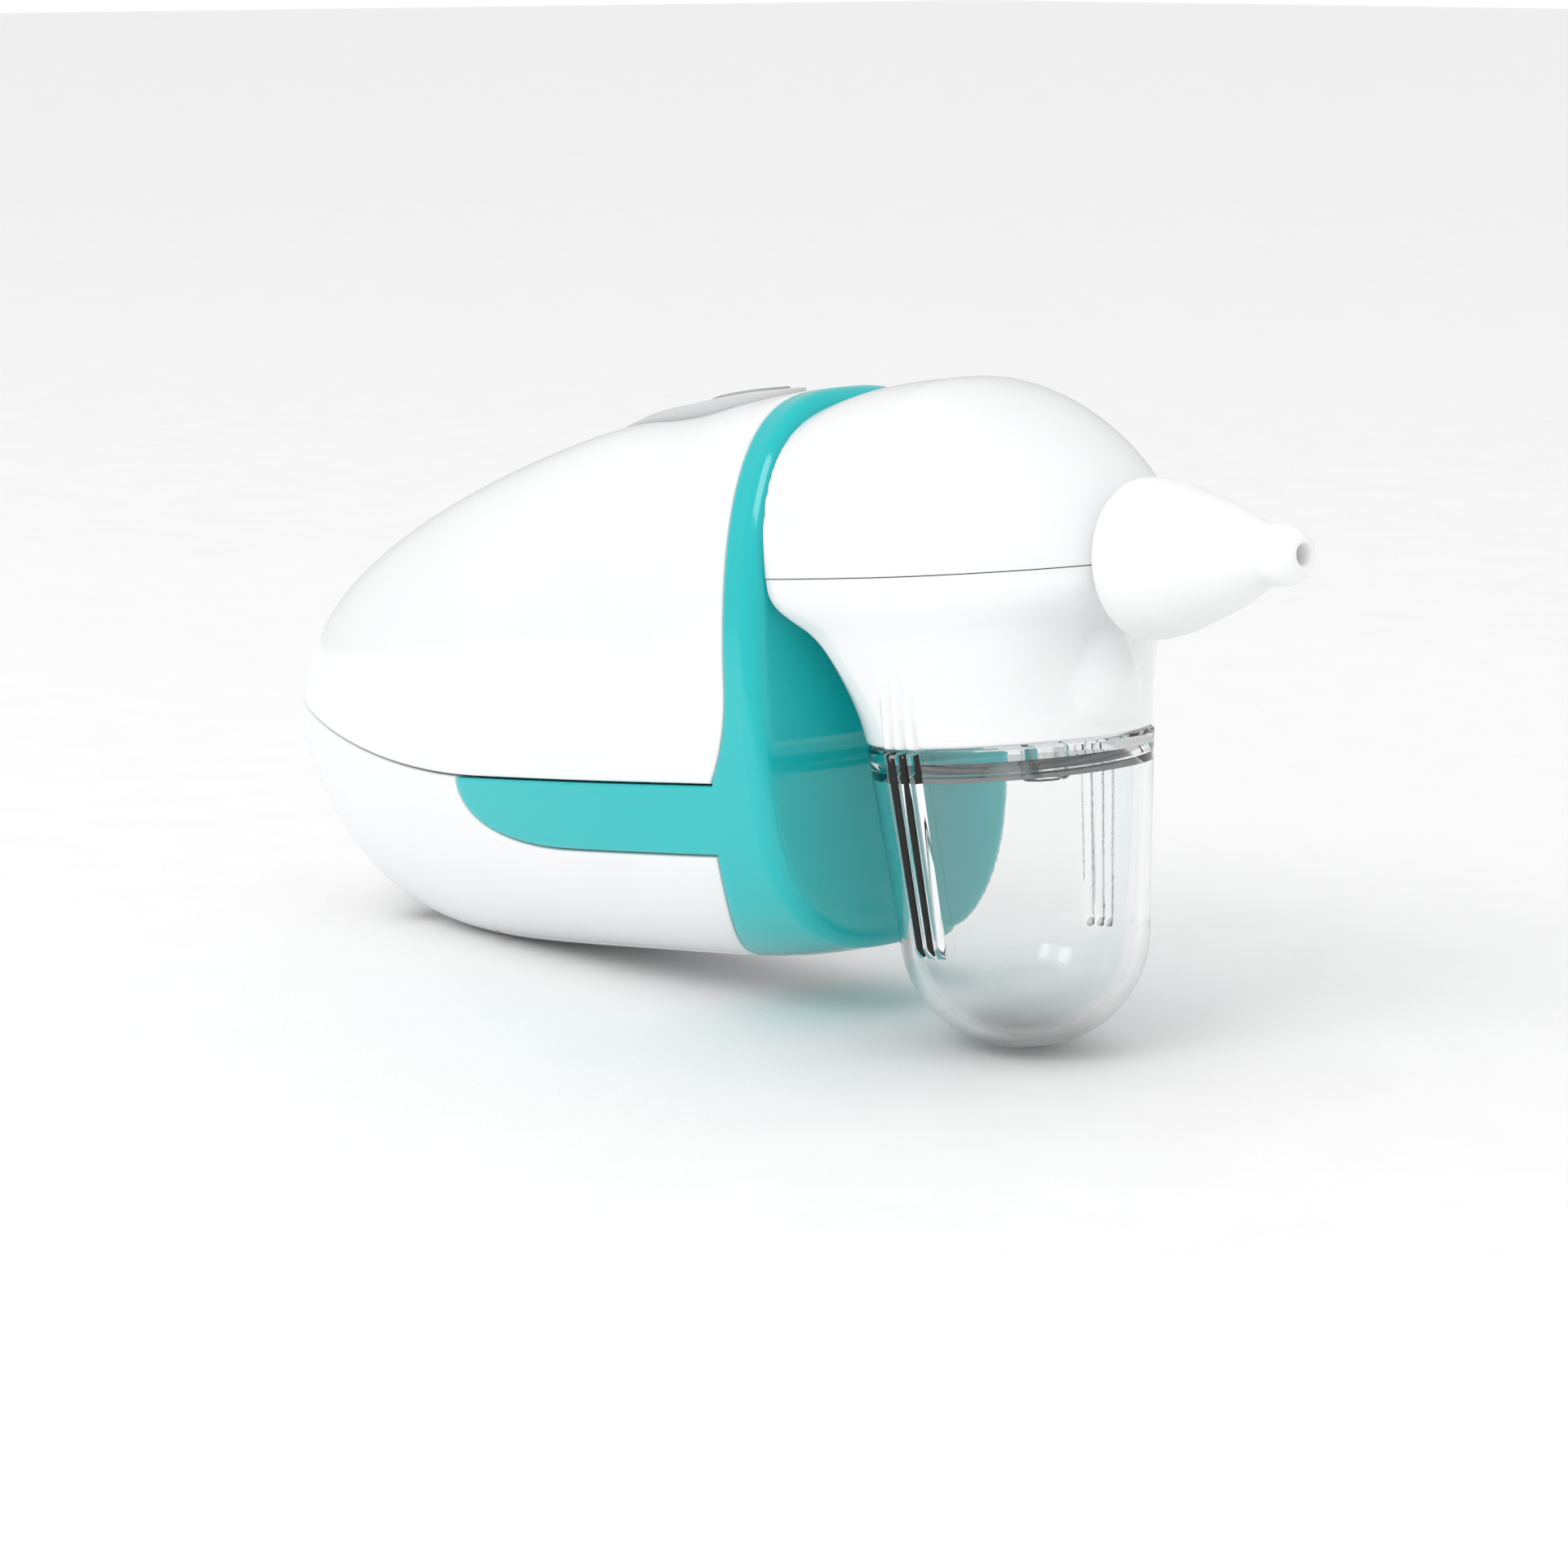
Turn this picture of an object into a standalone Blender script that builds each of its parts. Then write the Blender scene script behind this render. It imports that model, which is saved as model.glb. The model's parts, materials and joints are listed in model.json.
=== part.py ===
"""A battery nasal aspirator: a whale-shaped pod, a head with a soft tip, and a clear cup.

Modelled in a design frame whose +X points along the tip, +Y to the left and +Z up the cup's axis.
The design origin is the centre of the joint between head and cup. All of it hangs on one empty,
which tips the nose up until the cup's foot and the pod's heel both meet the table.
"""

import math

import bmesh
import bpy
from mathutils import Matrix, Vector

MM = 0.001
GAP = 0.3 * MM  # clearance between neighbouring pieces
WALL = 1.6 * MM  # housing wall
FAR = 200 * MM  # cutters reach this far past the object

# Pod
TAIL_X = -129.4 * MM
TAIL_Z = 2.4 * MM
TOP_Z = 40.8 * MM
KEEL_Z = -27.1 * MM
BELLY_Z = -26.2 * MM  # the flat under the batteries
POD_HALF_WIDTH = 20.7 * MM
SHOULDER_X = -34.7 * MM  # the spine starts to fall here
SADDLE_X = -42.5 * MM  # middle of the dip that the button strip bridges
SADDLE_DEPTH = 1.5 * MM
SADDLE_SPREAD = 8 * MM
KEEL_X = -60.8 * MM  # the keel starts to rise here
WIDEST_X = -43.4 * MM  # the sides start to close in here
SOFT_START = 0.05  # share of the length over which a closing curve begins
MIDDLE = 0.382  # height of the widest line, as a share of the section
FRONT_X = -20.3 * MM  # smooth front wall behind the cup
FRONT_FILLET = 2.4 * MM
CHIN_START_X = -39 * MM
CHIN_RISE = 2.2 * MM
REST_PITCH = math.radians(6.7)

# Seams of the pod
BAND_REAR_X = -25.5 * MM
BAND_SWEEP = 3.6 * MM  # how far the band's edge runs back where it joins the belt
BAND_SWEEP_HEIGHT = 12 * MM
SEAM_Z = -4 * MM
SEAM_RISE_X = -75 * MM
SEAM_RISE = 10 * MM
BELT_LOW_Z = -12.4 * MM
BELT_END_X = -79.6 * MM
BELT_ROUND_X = -57 * MM
CHIN_EDGE_X = -30 * MM

# Head
HEAD_REAR_X = FRONT_X + GAP
SEAT_X = 22.8 * MM  # flat seat behind the tip
PARTING_Z = 19.6 * MM  # joint of cover and base, and the tip's axis
HEAD_CENTRE_X = -3.5 * MM
HEAD_FRONT = 28 * MM  # semi-axes of the head's plan
HEAD_REAR = 34.5 * MM
HEAD_HALF_WIDTH = 19 * MM
DOME_HEIGHT = 21.35 * MM
DOME_FRONT_POWER = 1.6
DOME_REAR_POWER = 2.2
DOME_SIDE_POWER = 2.5
COLLAR_RADIUS = 16.4 * MM
NOZZLE_HOLE_RADIUS = 4.3 * MM
# How far the funnel has spread from the collar to the head's plan, by height in mm
FUNNEL = (
    (0, 0),
    (3.1, 0.085),
    (6.5, 0.222),
    (11.3, 0.46),
    (13.2, 0.6),
    (14.6, 0.76),
    (16, 0.9),
    (17.6, 0.98),
    (19.6, 1),
)
# The duct under the tip, from its foot up: height, reach forward and half width, in mm
DUCT = (
    (0.6, 16.2, 8.5),
    (3, 17.6, 8),
    (5.9, 18.5, 7),
    (7.1, 18.6, 6.5),
    (9.6, 18.4, 5.2),
    (11.5, 18.4, 4),
    (12.7, 18.4, 3.4),
    (15, 18.6, 3.2),
    (19.6, 19.5, 3.2),
)
DUCT_LENGTH = 1.2  # semi-axis along X, as a share of the half width

# Joint of head and cup
SOCKET_RADIUS = 14.7 * MM
FLOOR_LOW = 6 * MM  # the head's floor above the cup's neck
FLOOR_TOP = 7.8 * MM
NECK_RADIUS = 14.2 * MM
NECK_BORE = 12.9 * MM
NECK_TOP = 5.2 * MM
GROOVE_RADIUS = 13.4 * MM
GROOVE_LOW = 2.2 * MM
GROOVE_TOP = 3.8 * MM
INLET_X = 5.2 * MM
INLET_RADIUS = 2.7 * MM
VALVE_X = -7 * MM
VALVE_HOLE_RADIUS = 1.4 * MM

# Cup
CUP_RIM_RADIUS = 16.5 * MM
CUP_WAIST_RADIUS = 14.4 * MM
CUP_WAIST_Z = -22.6 * MM
CUP_BOTTOM_DEPTH = 13.8 * MM
CUP_FOOT_Z = -35.8 * MM
CUP_FOOT_RADIUS = 4.2 * MM
CUP_WALL = 1.5 * MM
RIB_RADIUS = 0.8 * MM
RIB_ANGLE = math.radians(93.6)
RIB_STEP = math.radians(6.8)

# Buttons
STRIP_REAR_X = -63 * MM
STRIP_FRONT_X = -31.5 * MM
STRIP_HALF_WIDTH = 5.4 * MM
STRIP_LIFT = 0.15 * MM  # above the spine line without its dip
STRIP_THICK = 1.6 * MM
POWER_SPAN = (-46.2 * MM, -34.2 * MM)
LEVEL_SPAN = (-59.6 * MM, -48.6 * MM)
BUTTON_HALF_WIDTH = 3.5 * MM
BUTTON_LOW_Z = 35.4 * MM
BUTTON_TRAVEL = 0.8 * MM
BOARD_Z = 28.2 * MM
BOARD_THICK = 1.2 * MM

# Power
CELL_RADIUS = 5.25 * MM
CELL_LENGTH = 43.2 * MM
CELL_POLE = 1.3 * MM
CELL_Y = 5.6 * MM
CELL_Z = -17.4 * MM
BAY_REAR_X = -86.5 * MM
BAY_FRONT_X = -36 * MM
DOOR_REAR_X = -85.4 * MM
DOOR_FRONT_X = -38.2 * MM
DOOR_HALF_WIDTH = 9.4 * MM
DOOR_GAP = 0.35 * MM
CONTACT_HALF = 4.2 * MM
CONTACT_THICK = 0.4 * MM

# Chassis
DECK_LOW_Z = CELL_Z + CELL_RADIUS + 0.6 * MM
DECK_TOP_Z = DECK_LOW_Z + 1.5 * MM
DECK_HALF_WIDTH = 11.2 * MM
TRAY_WALL = 1.5 * MM
ARM_X = -31.2 * MM

# Pump line
PUMP_Z = 9 * MM
SHAFT_RADIUS = 1 * MM
ECCENTRICITY = 1.2 * MM
PUMP_RADIUS = 12.5 * MM
MOTOR_RADIUS = 10 * MM
PORT_Z = 16.6 * MM

# Screws, each pair at both signs of Y
SCREW_RADIUS = 1.3 * MM
SCREW_HOLE_RADIUS = 1.6 * MM
HEAD_SCREW_Y = 12 * MM
HEAD_SCREW_Z = PORT_Z + 0.4 * MM
REAR_SCREW_X = -104 * MM
REAR_SCREW_Y = 6 * MM
REAR_JOINT_Z = -7 * MM
BOARD_SCREW_X = -47 * MM
BOARD_SCREW_Y = 9.5 * MM


def clear_scene():
    for obj in list(bpy.data.objects):
        bpy.data.objects.remove(obj, do_unlink=True)


def new_collection(name):
    collection = bpy.data.collections.new(name)
    bpy.context.scene.collection.children.link(collection)
    return collection


clear_scene()
PARTS = new_collection("nasal_aspirator")
CUTTERS = new_collection("cutters")
REST = bpy.data.objects.new("rest_pose", None)
REST.rotation_euler = (0, -REST_PITCH, 0)
PARTS.objects.link(REST)


def plastic(name, colour, roughness=0.35, metallic=0.0, alpha=1.0):
    material = bpy.data.materials.new(name)
    material.use_nodes = True
    shader = material.node_tree.nodes["Principled BSDF"]
    shader.inputs["Base Color"].default_value = (*colour, 1)
    shader.inputs["Roughness"].default_value = roughness
    shader.inputs["Metallic"].default_value = metallic
    shader.inputs["Alpha"].default_value = alpha
    material.diffuse_color = (*colour, alpha)
    return material


GLOSS_WHITE = plastic("gloss_white", (0.87, 0.88, 0.88), 0.12)
SATIN_WHITE = plastic("satin_white", (0.84, 0.85, 0.86), 0.3)
TEAL = plastic("teal", (0.0, 0.50, 0.52), 0.15)
CLEAR = plastic("clear", (0.95, 0.97, 0.97), 0.04, alpha=0.25)
SILICONE = plastic("silicone", (0.86, 0.86, 0.85), 0.5, alpha=0.85)
GREY = plastic("grey", (0.4, 0.41, 0.42), 0.4)
LIGHT_GREY = plastic("light_grey", (0.6, 0.61, 0.62), 0.4)
DARK = plastic("dark", (0.03, 0.03, 0.035), 0.5)
STEEL = plastic("steel", (0.6, 0.6, 0.62), 0.25, 1.0)
BRASS = plastic("brass", (0.75, 0.55, 0.25), 0.3, 1.0)
BOARD_GREEN = plastic("board_green", (0.02, 0.2, 0.08), 0.4)
CELL_SKIN = plastic("cell_skin", (0.35, 0.32, 0.12), 0.3)
RED = plastic("red", (0.6, 0.02, 0.02), 0.5)


# ---------------------------------------------------------------- tools


def add_object(name, data, material=None):
    """A part when it has a material, and otherwise a cutter."""
    obj = bpy.data.objects.new(name, data)
    obj.parent = REST
    if material:
        data.materials.clear()
        data.materials.append(material)
        PARTS.objects.link(obj)
    else:
        obj.hide_render = True
        obj.display_type = "WIRE"
        CUTTERS.objects.link(obj)
    return obj


def add_bmesh(name, bm, material=None, smooth=True):
    mesh = bpy.data.meshes.new(name)
    bmesh.ops.recalc_face_normals(bm, faces=bm.faces)
    bm.to_mesh(mesh)
    bm.free()
    if smooth:
        mesh.shade_smooth()
        mesh.set_sharp_from_angle(angle=math.radians(35))
    return add_object(name, mesh, material)


def box(name, low, high, material=None):
    bm = bmesh.new()
    bmesh.ops.create_cube(bm, size=1)
    size = [b - a for a, b in zip(low, high)]
    middle = [(a + b) / 2 for a, b in zip(low, high)]
    bmesh.ops.transform(bm, matrix=Matrix.Diagonal((*size, 1)), verts=bm.verts)
    bmesh.ops.translate(bm, vec=middle, verts=bm.verts)
    return add_bmesh(name, bm, material, smooth=False)


def rod(name, start, end, radius, material=None, sides=24, end_radius=None):
    """A cylinder, or a cone, from one point to another."""
    start, end = Vector(start), Vector(end)
    bm = bmesh.new()
    bmesh.ops.create_cone(
        bm,
        cap_ends=True,
        segments=sides,
        radius1=radius,
        radius2=radius if end_radius is None else end_radius,
        depth=(end - start).length,
    )
    turn = Vector((0, 0, 1)).rotation_difference(end - start).to_matrix().to_4x4()
    place = Matrix.Translation((start + end) / 2) @ turn
    bmesh.ops.transform(bm, matrix=place, verts=bm.verts)
    return add_bmesh(name, bm, material)


def turned(name, profile, material=None, steps=28, closed=False):
    """A profile of (radius, height) points, from the top down its outer side, turned about Z."""
    bm = bmesh.new()
    points = [bm.verts.new((radius, 0, height)) for radius, height in profile]
    for a, b in zip(points, points[1:]):
        bm.edges.new((a, b))
    if closed:
        bm.edges.new((points[-1], points[0]))
    mesh = bpy.data.meshes.new(name)
    bm.to_mesh(mesh)
    bm.free()
    obj = add_object(name, mesh, material)
    screw = obj.modifiers.new("turn", "SCREW")
    screw.steps = steps
    screw.render_steps = steps
    screw.use_merge_vertices = True
    screw.merge_threshold = 0.00001
    screw.use_smooth_shade = True
    return obj


def lie_along_x(obj, x=0.0, y=0.0, z=0.0):
    """Turns a piece's own +Z to the design frame's +X."""
    obj.location = (x, y, z)
    obj.rotation_euler = (0, math.pi / 2, 0)
    return obj


def settled_mesh(obj, turn_out=False):
    """The evaluated shape of an object, welded, in the design frame."""
    bpy.context.view_layer.update()
    graph = bpy.context.evaluated_depsgraph_get()
    mesh = bpy.data.meshes.new_from_object(obj.evaluated_get(graph))
    mesh.transform(obj.matrix_local)
    bm = bmesh.new()
    bm.from_mesh(mesh)
    bmesh.ops.remove_doubles(bm, verts=bm.verts, dist=0.000001)
    if turn_out:
        bmesh.ops.recalc_face_normals(bm, faces=bm.faces)
    bm.to_mesh(mesh)
    bm.free()
    return mesh


def plate(name, outline, half_thickness, side_view=True):
    """A flat outline in the XZ plane (or XY), made thick both ways: a cutter."""
    curve = bpy.data.curves.new(name, "CURVE")
    curve.dimensions = "2D"
    curve.fill_mode = "BOTH"
    curve.extrude = half_thickness
    spline = curve.splines.new("POLY")
    spline.points.add(len(outline) - 1)
    for point, (x, other) in zip(spline.points, outline):
        point.co = (x, other, 0, 1)
    spline.use_cyclic_u = True
    drawn = add_object(name + "_outline", curve)
    if side_view:
        drawn.rotation_euler = (math.pi / 2, 0, 0)
    mesh = settled_mesh(drawn, turn_out=True)
    bpy.data.objects.remove(drawn)
    mesh.name = name
    return add_object(name, mesh)


def combine(obj, tool, operation="DIFFERENCE"):
    modifier = obj.modifiers.new(tool.name, "BOOLEAN")
    modifier.operation = operation
    modifier.object = tool
    modifier.solver = "EXACT"
    return obj


def tube(name, route, outer, inner, material, resolution=2):
    """A hollow hose along a route of points."""
    obj = wire(name, route, outer, material, resolution, capped=False)
    wall = obj.modifiers.new("wall", "SOLIDIFY")
    wall.thickness = outer - inner
    wall.offset = -1
    return obj


def wire(name, route, radius, material, resolution=2, capped=True):
    curve = bpy.data.curves.new(name, "CURVE")
    curve.dimensions = "3D"
    curve.bevel_depth = radius
    curve.bevel_resolution = resolution
    curve.use_fill_caps = capped
    spline = curve.splines.new("POLY")
    spline.points.add(len(route) - 1)
    for point, place in zip(spline.points, route):
        point.co = (*place, 1)
    return add_object(name, curve, material)


def smooth_route(points, count):
    """Evenly spread points of a Catmull-Rom curve through a few hand-placed ones."""
    points = [Vector(p) for p in points]
    points = [2 * points[0] - points[1], *points, 2 * points[-1] - points[-2]]
    spans = len(points) - 3
    route = []
    for k in range(count):
        place = k / (count - 1) * spans
        i = min(int(place), spans - 1)
        t = place - i
        a, b, c, d = points[i : i + 4]
        bend = (2 * a - 5 * b + 4 * c - d) * t * t + (3 * b - a - 3 * c + d) * t**3
        route.append(0.5 * (2 * b + (c - a) * t + bend))
    return route


def loft(name, rings, material=None):
    bm = bmesh.new()
    loops = [[bm.verts.new(point) for point in ring] for ring in rings]
    for near, far in zip(loops, loops[1:]):
        for i in range(len(near)):
            bm.faces.new((near[i - 1], near[i], far[i], far[i - 1]))
    bm.faces.new(loops[0])
    bm.faces.new(loops[-1])
    return add_bmesh(name, bm, material)


def curved(value, power):
    """A signed power, for the corners of a superellipse."""
    return math.copysign(abs(value) ** power, value)


# ---------------------------------------------------------------- pod shape


def share(x, start):
    """How far x is from start to the tail, 0 to 1."""
    return min(max((start - x) / (start - TAIL_X), 0), 1)


def soft_share(x, start, power):
    """The same to a power, with a soft start so that the shape begins to turn without a crease."""
    along = share(x, start)
    low = SOFT_START**power
    high = (1 + SOFT_START**2) ** (power / 2)
    return ((along**2 + SOFT_START**2) ** (power / 2) - low) / (high - low)


def spine_z(x):
    """Height of the pod's top line before its dip under the button strip."""
    return TAIL_Z + (TOP_Z - TAIL_Z) * max(1 - soft_share(x, SHOULDER_X, 1.3), 0) ** 0.46


def pod_top(x):
    away = (x - SADDLE_X) / SADDLE_SPREAD
    return spine_z(x) - SADDLE_DEPTH * math.exp(-away * away / 2)


def pod_keel(x):
    low = TAIL_Z - (TAIL_Z - KEEL_Z) * (1 - share(x, KEEL_X) ** 4.18) ** 0.965
    forward = max(x - CHIN_START_X, 0) / (FRONT_X - CHIN_START_X)
    return low + CHIN_RISE * forward**1.6


def pod_half_width(x):
    return POD_HALF_WIDTH * max(1 - soft_share(x, WIDEST_X, 1.63), 0) ** 0.383


def table_z(x):
    """Height of the table's plane in the design frame."""
    return CUP_FOOT_Z - math.tan(REST_PITCH) * (x + CUP_FOOT_RADIUS)


def pod_ring(x, inset, count, floor=None, top_line=pod_top):
    """One cross-section of the pod, shrunk by inset, and no lower than floor."""
    width = pod_half_width(x) - inset
    top = top_line(x) - inset
    keel = pod_keel(x) + inset
    middle = pod_keel(x) + MIDDLE * (top_line(x) - pod_keel(x))
    upper_power = 2 / (3 - 0.44 * share(x, SHOULDER_X))
    ring = []
    for k in range(count):
        angle = 2 * math.pi * k / count
        c, s = math.cos(angle), math.sin(angle)
        if s >= 0:
            y = width * curved(c, upper_power)
            z = middle + (top - middle) * s ** (2 / 2.2)
        else:
            y = width * curved(c, 2 / 2.68)
            z = middle - (middle - keel) * abs(s) ** (2 / 2.6)
        if floor is not None:
            z = max(z, floor)
        ring.append((x, y, z))
    return ring


def tail_stations(rear, front, count):
    """Places along X, closer together towards the tail."""
    places = []
    for k in range(count + 1):
        places.append(rear + (front - rear) * (1 - math.cos(math.pi / 2 * k / count)))
    return places


def pod_outside(name, inset=0.0, count=32, stations=16, top_line=pod_top):
    rings = []
    rear = TAIL_X + max(inset, 0.06 * MM)
    for x in tail_stations(rear, FRONT_X - FRONT_FILLET, stations):
        rings.append(pod_ring(x, inset, count, top_line=top_line))
    for step in (0.35, 0.65, 0.87, 1.0):
        x = FRONT_X - FRONT_FILLET * (1 - step)
        shrink = FRONT_FILLET * (1 - math.sqrt(1 - step * step))
        rings.append(pod_ring(x, inset + shrink, count, top_line=top_line))
    return loft(name, rings)


def pod_inside(name):
    rings = []
    for x in tail_stations(TAIL_X + 2.4 * MM, FRONT_X - WALL, 9):
        floor = max(BELLY_Z, table_z(x)) + WALL
        rings.append(pod_ring(x, WALL, 24, floor))
    return loft(name, rings)


def below_table(name):
    """Everything under the table's plane."""
    slab = box(name, (-FAR, -FAR, -FAR), (FAR, FAR, 0))
    slab.rotation_euler = (0, REST_PITCH, 0)
    slab.location = (0, 0, table_z(0))
    return slab


def pod_skin():
    """The whole hollow pod with its flats cut, as one mesh that the pod's pieces are cut from."""
    skin = pod_outside("pod_outside")
    combine(skin, box("below_belly", (-FAR, -FAR, -FAR), (FAR, FAR, BELLY_Z)))
    combine(skin, below_table("below_table"))
    combine(skin, pod_inside("pod_inside"))
    return settled_mesh(skin)


def seam_z(x):
    """Height of the seam between the two shells."""
    back = max(SEAM_RISE_X - x, 0) / (SEAM_RISE_X - TAIL_X)
    return SEAM_Z + SEAM_RISE * back**2


def seam_points(rear, front, offset, count=10):
    xs = [rear + (front - rear) * k / (count - 1) for k in range(count)]
    return [(x, seam_z(x) + offset) for x in xs]


def band_flare(offset):
    """The band's rear edge, which sweeps back into the belt, from the top down."""
    edge = [(BAND_REAR_X + offset, FAR)]
    for k in range(7):
        drop = k / 6
        x = BAND_REAR_X + offset - BAND_SWEEP * drop**2.2
        edge.append((x, SEAM_Z + BAND_SWEEP_HEIGHT * (1 - drop)))
    return edge


def belt_end(offset, count=9):
    """The belt's rounded rear end and lower edge, from its tip forward, grown by offset."""
    points = []
    for k in range(count):
        turn = math.pi / 2 * k / (count - 1)
        reach = BELT_ROUND_X - BELT_END_X + offset
        depth = SEAM_Z - BELT_LOW_Z + offset
        x = BELT_ROUND_X - reach * math.cos(turn) ** 0.9
        points.append((x, SEAM_Z - depth * math.sin(turn) ** 0.9))
    return points


def chin_edge(offset):
    """The rear edge of the front piece under the belt, from the belt down."""
    edge = []
    for k in range(7):
        drop = k / 6
        x = CHIN_EDGE_X - offset - 2.2 * MM * drop - 7.6 * MM * drop**2.6
        edge.append((x, BELT_LOW_Z - offset * (1 - drop) - 16 * MM * drop))
    return edge


def upper_outline():
    band_foot = (BAND_REAR_X - BAND_SWEEP - GAP, SEAM_Z + GAP / 2)
    behind = TAIL_X - 10 * MM
    low = seam_points(behind, band_foot[0], GAP / 2, 16)
    edge = band_flare(-GAP)
    edge[-1] = band_foot
    return [*low[:-1], *reversed(edge), (behind, FAR)]


def frame_outline():
    top = band_flare(0)
    top[-1] = (BAND_REAR_X - BAND_SWEEP, SEAM_Z - GAP / 2)
    belt = belt_end(0)
    belt[0] = (belt[0][0], SEAM_Z - GAP / 2)
    chin = chin_edge(0)
    return [(FAR, FAR), *top, *belt, *chin, (chin[-1][0], -FAR), (FAR, -FAR)]


def lower_outline():
    behind = TAIL_X - 10 * MM
    rear = seam_points(behind, BELT_END_X - GAP, -GAP / 2, 10)
    belt = belt_end(GAP)
    belt[0] = (belt[0][0], SEAM_Z - GAP / 2)
    chin = chin_edge(GAP)
    return [*rear[:-1], *belt, *chin, (chin[-1][0], -FAR), (behind, -FAR)]


def pod_piece(name, skin, outline, material):
    mesh = skin.copy()
    piece = add_object(name, mesh, material)
    return combine(piece, plate(name + "_side", outline, FAR), "INTERSECT")


# ---------------------------------------------------------------- pod pieces


def strip_outline(grow, rear=STRIP_REAR_X, front=STRIP_FRONT_X, width=STRIP_HALF_WIDTH, count=24):
    """Plan of the button strip: an oval that narrows to the rear."""
    middle = (rear + front) / 2
    reach = (front - rear) / 2 + grow
    points = []
    for k in range(count):
        angle = 2 * math.pi * k / count
        along = math.cos(angle)
        narrow = 1 + 0.28 * along
        points.append((middle + reach * along, (width * narrow + grow) * math.sin(angle)))
    return points


def prism(name, outline, low, high):
    """A plan outline raised from low to high."""
    tool = plate(name, outline, (high - low) / 2, side_view=False)
    tool.location.z = (low + high) / 2
    return tool


def inner_post(shell, name, start, end, radius):
    """A post that grows out of a shell's wall without reaching its outer face."""
    post = rod(name, start, end, radius, sides=12)
    combine(post, bpy.data.objects["post_limit"], "INTERSECT")
    return combine(shell, post, "UNION")


def both_sides(y):
    return (("left", y), ("right", -y))


def upper_shell(skin):
    shell = pod_piece("upper_shell", skin, upper_outline(), GLOSS_WHITE)
    combine(shell, prism("strip_hole", strip_outline(GAP), 30 * MM, 60 * MM))
    for side, y in both_sides(BOARD_SCREW_Y):
        low = (BOARD_SCREW_X, y, BOARD_Z + BOARD_THICK + GAP)
        inner_post(shell, "board_post_" + side, low, (BOARD_SCREW_X, y, 42 * MM), 2.2 * MM)
        low = (BOARD_SCREW_X, y, 20 * MM)
        high = (BOARD_SCREW_X, y, 34 * MM)
        combine(shell, rod("board_hole_" + side, low, high, 1.2 * MM, sides=12))
    for side, y in both_sides(REAR_SCREW_Y):
        low = (REAR_SCREW_X, y, REAR_JOINT_Z)
        inner_post(shell, "rear_post_" + side, low, (REAR_SCREW_X, y, 30 * MM), 2.4 * MM)
        low = (REAR_SCREW_X, y, -9 * MM)
        high = (REAR_SCREW_X, y, 3 * MM)
        combine(shell, rod("rear_pilot_" + side, low, high, SCREW_HOLE_RADIUS, sides=12))
    return shell


def door_box(name, grow):
    low = (DOOR_REAR_X - grow, -DOOR_HALF_WIDTH - grow, -FAR)
    high = (DOOR_FRONT_X + grow, DOOR_HALF_WIDTH + grow, -18 * MM)
    return box(name, low, high)


def lower_shell(skin):
    shell = pod_piece("lower_shell", skin, lower_outline(), SATIN_WHITE)
    combine(shell, door_box("door_hole", DOOR_GAP))
    for side, y in both_sides(REAR_SCREW_Y):
        foot = (REAR_SCREW_X, y, -30 * MM)
        top = (REAR_SCREW_X, y, REAR_JOINT_Z - GAP)
        inner_post(shell, "rear_boss_" + side, foot, top, 3.4 * MM)
        below = (REAR_SCREW_X, y, -40 * MM)
        shaft = rod("rear_hole_" + side, below, (REAR_SCREW_X, y, 0), SCREW_HOLE_RADIUS, sides=12)
        combine(shell, shaft)
        sink = rod("rear_sink_" + side, below, (REAR_SCREW_X, y, -12 * MM), 2.6 * MM, sides=12)
        combine(shell, sink)
    return shell


def battery_door(skin):
    mesh = skin.copy()
    door = add_object("battery_door", mesh, SATIN_WHITE)
    combine(door, door_box("door_cut", 0), "INTERSECT")
    hinge = (DOOR_FRONT_X, 0, BELLY_Z)
    mesh.transform(Matrix.Translation([-v for v in hinge]))
    door.location = hinge
    return door


def front_frame(skin):
    frame = pod_piece("front_frame", skin, frame_outline(), TEAL)
    port = rod("port_hole", (-30 * MM, 0, PORT_Z), (-10 * MM, 0, PORT_Z), 2.3 * MM, sides=16)
    combine(frame, port)
    for side, y in both_sides(HEAD_SCREW_Y):
        start = (-30 * MM, y, HEAD_SCREW_Z)
        end = (-10 * MM, y, HEAD_SCREW_Z)
        combine(frame, rod("frame_hole_" + side, start, end, SCREW_HOLE_RADIUS, sides=12))
    return frame


def strip_layer(name, lift, outline, low, material):
    """A piece of the button strip: its top follows the undipped spine at the given lift."""
    layer = pod_outside(name, -lift, top_line=spine_z)
    mesh = layer.data
    bpy.data.objects.remove(layer)
    piece = add_object(name, mesh, material)
    return combine(piece, prism(name + "_plan", outline, low, 60 * MM), "INTERSECT")


def button_outline(rear, front, grow=0.0):
    return strip_outline(grow, rear, front, BUTTON_HALF_WIDTH, 20)


def button_bezel():
    bezel = strip_layer("button_bezel", STRIP_LIFT, strip_outline(0), 33 * MM, LIGHT_GREY)
    under = pod_outside("bezel_under", STRIP_THICK - STRIP_LIFT, top_line=spine_z)
    combine(bezel, under)
    for name, span in (("power_hole", POWER_SPAN), ("level_hole", LEVEL_SPAN)):
        combine(bezel, prism(name, button_outline(*span, grow=GAP), 30 * MM, 60 * MM))
    return bezel


def button(name, span, material):
    return strip_layer(name, STRIP_LIFT + 0.25 * MM, button_outline(*span), BUTTON_LOW_Z, material)


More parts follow.
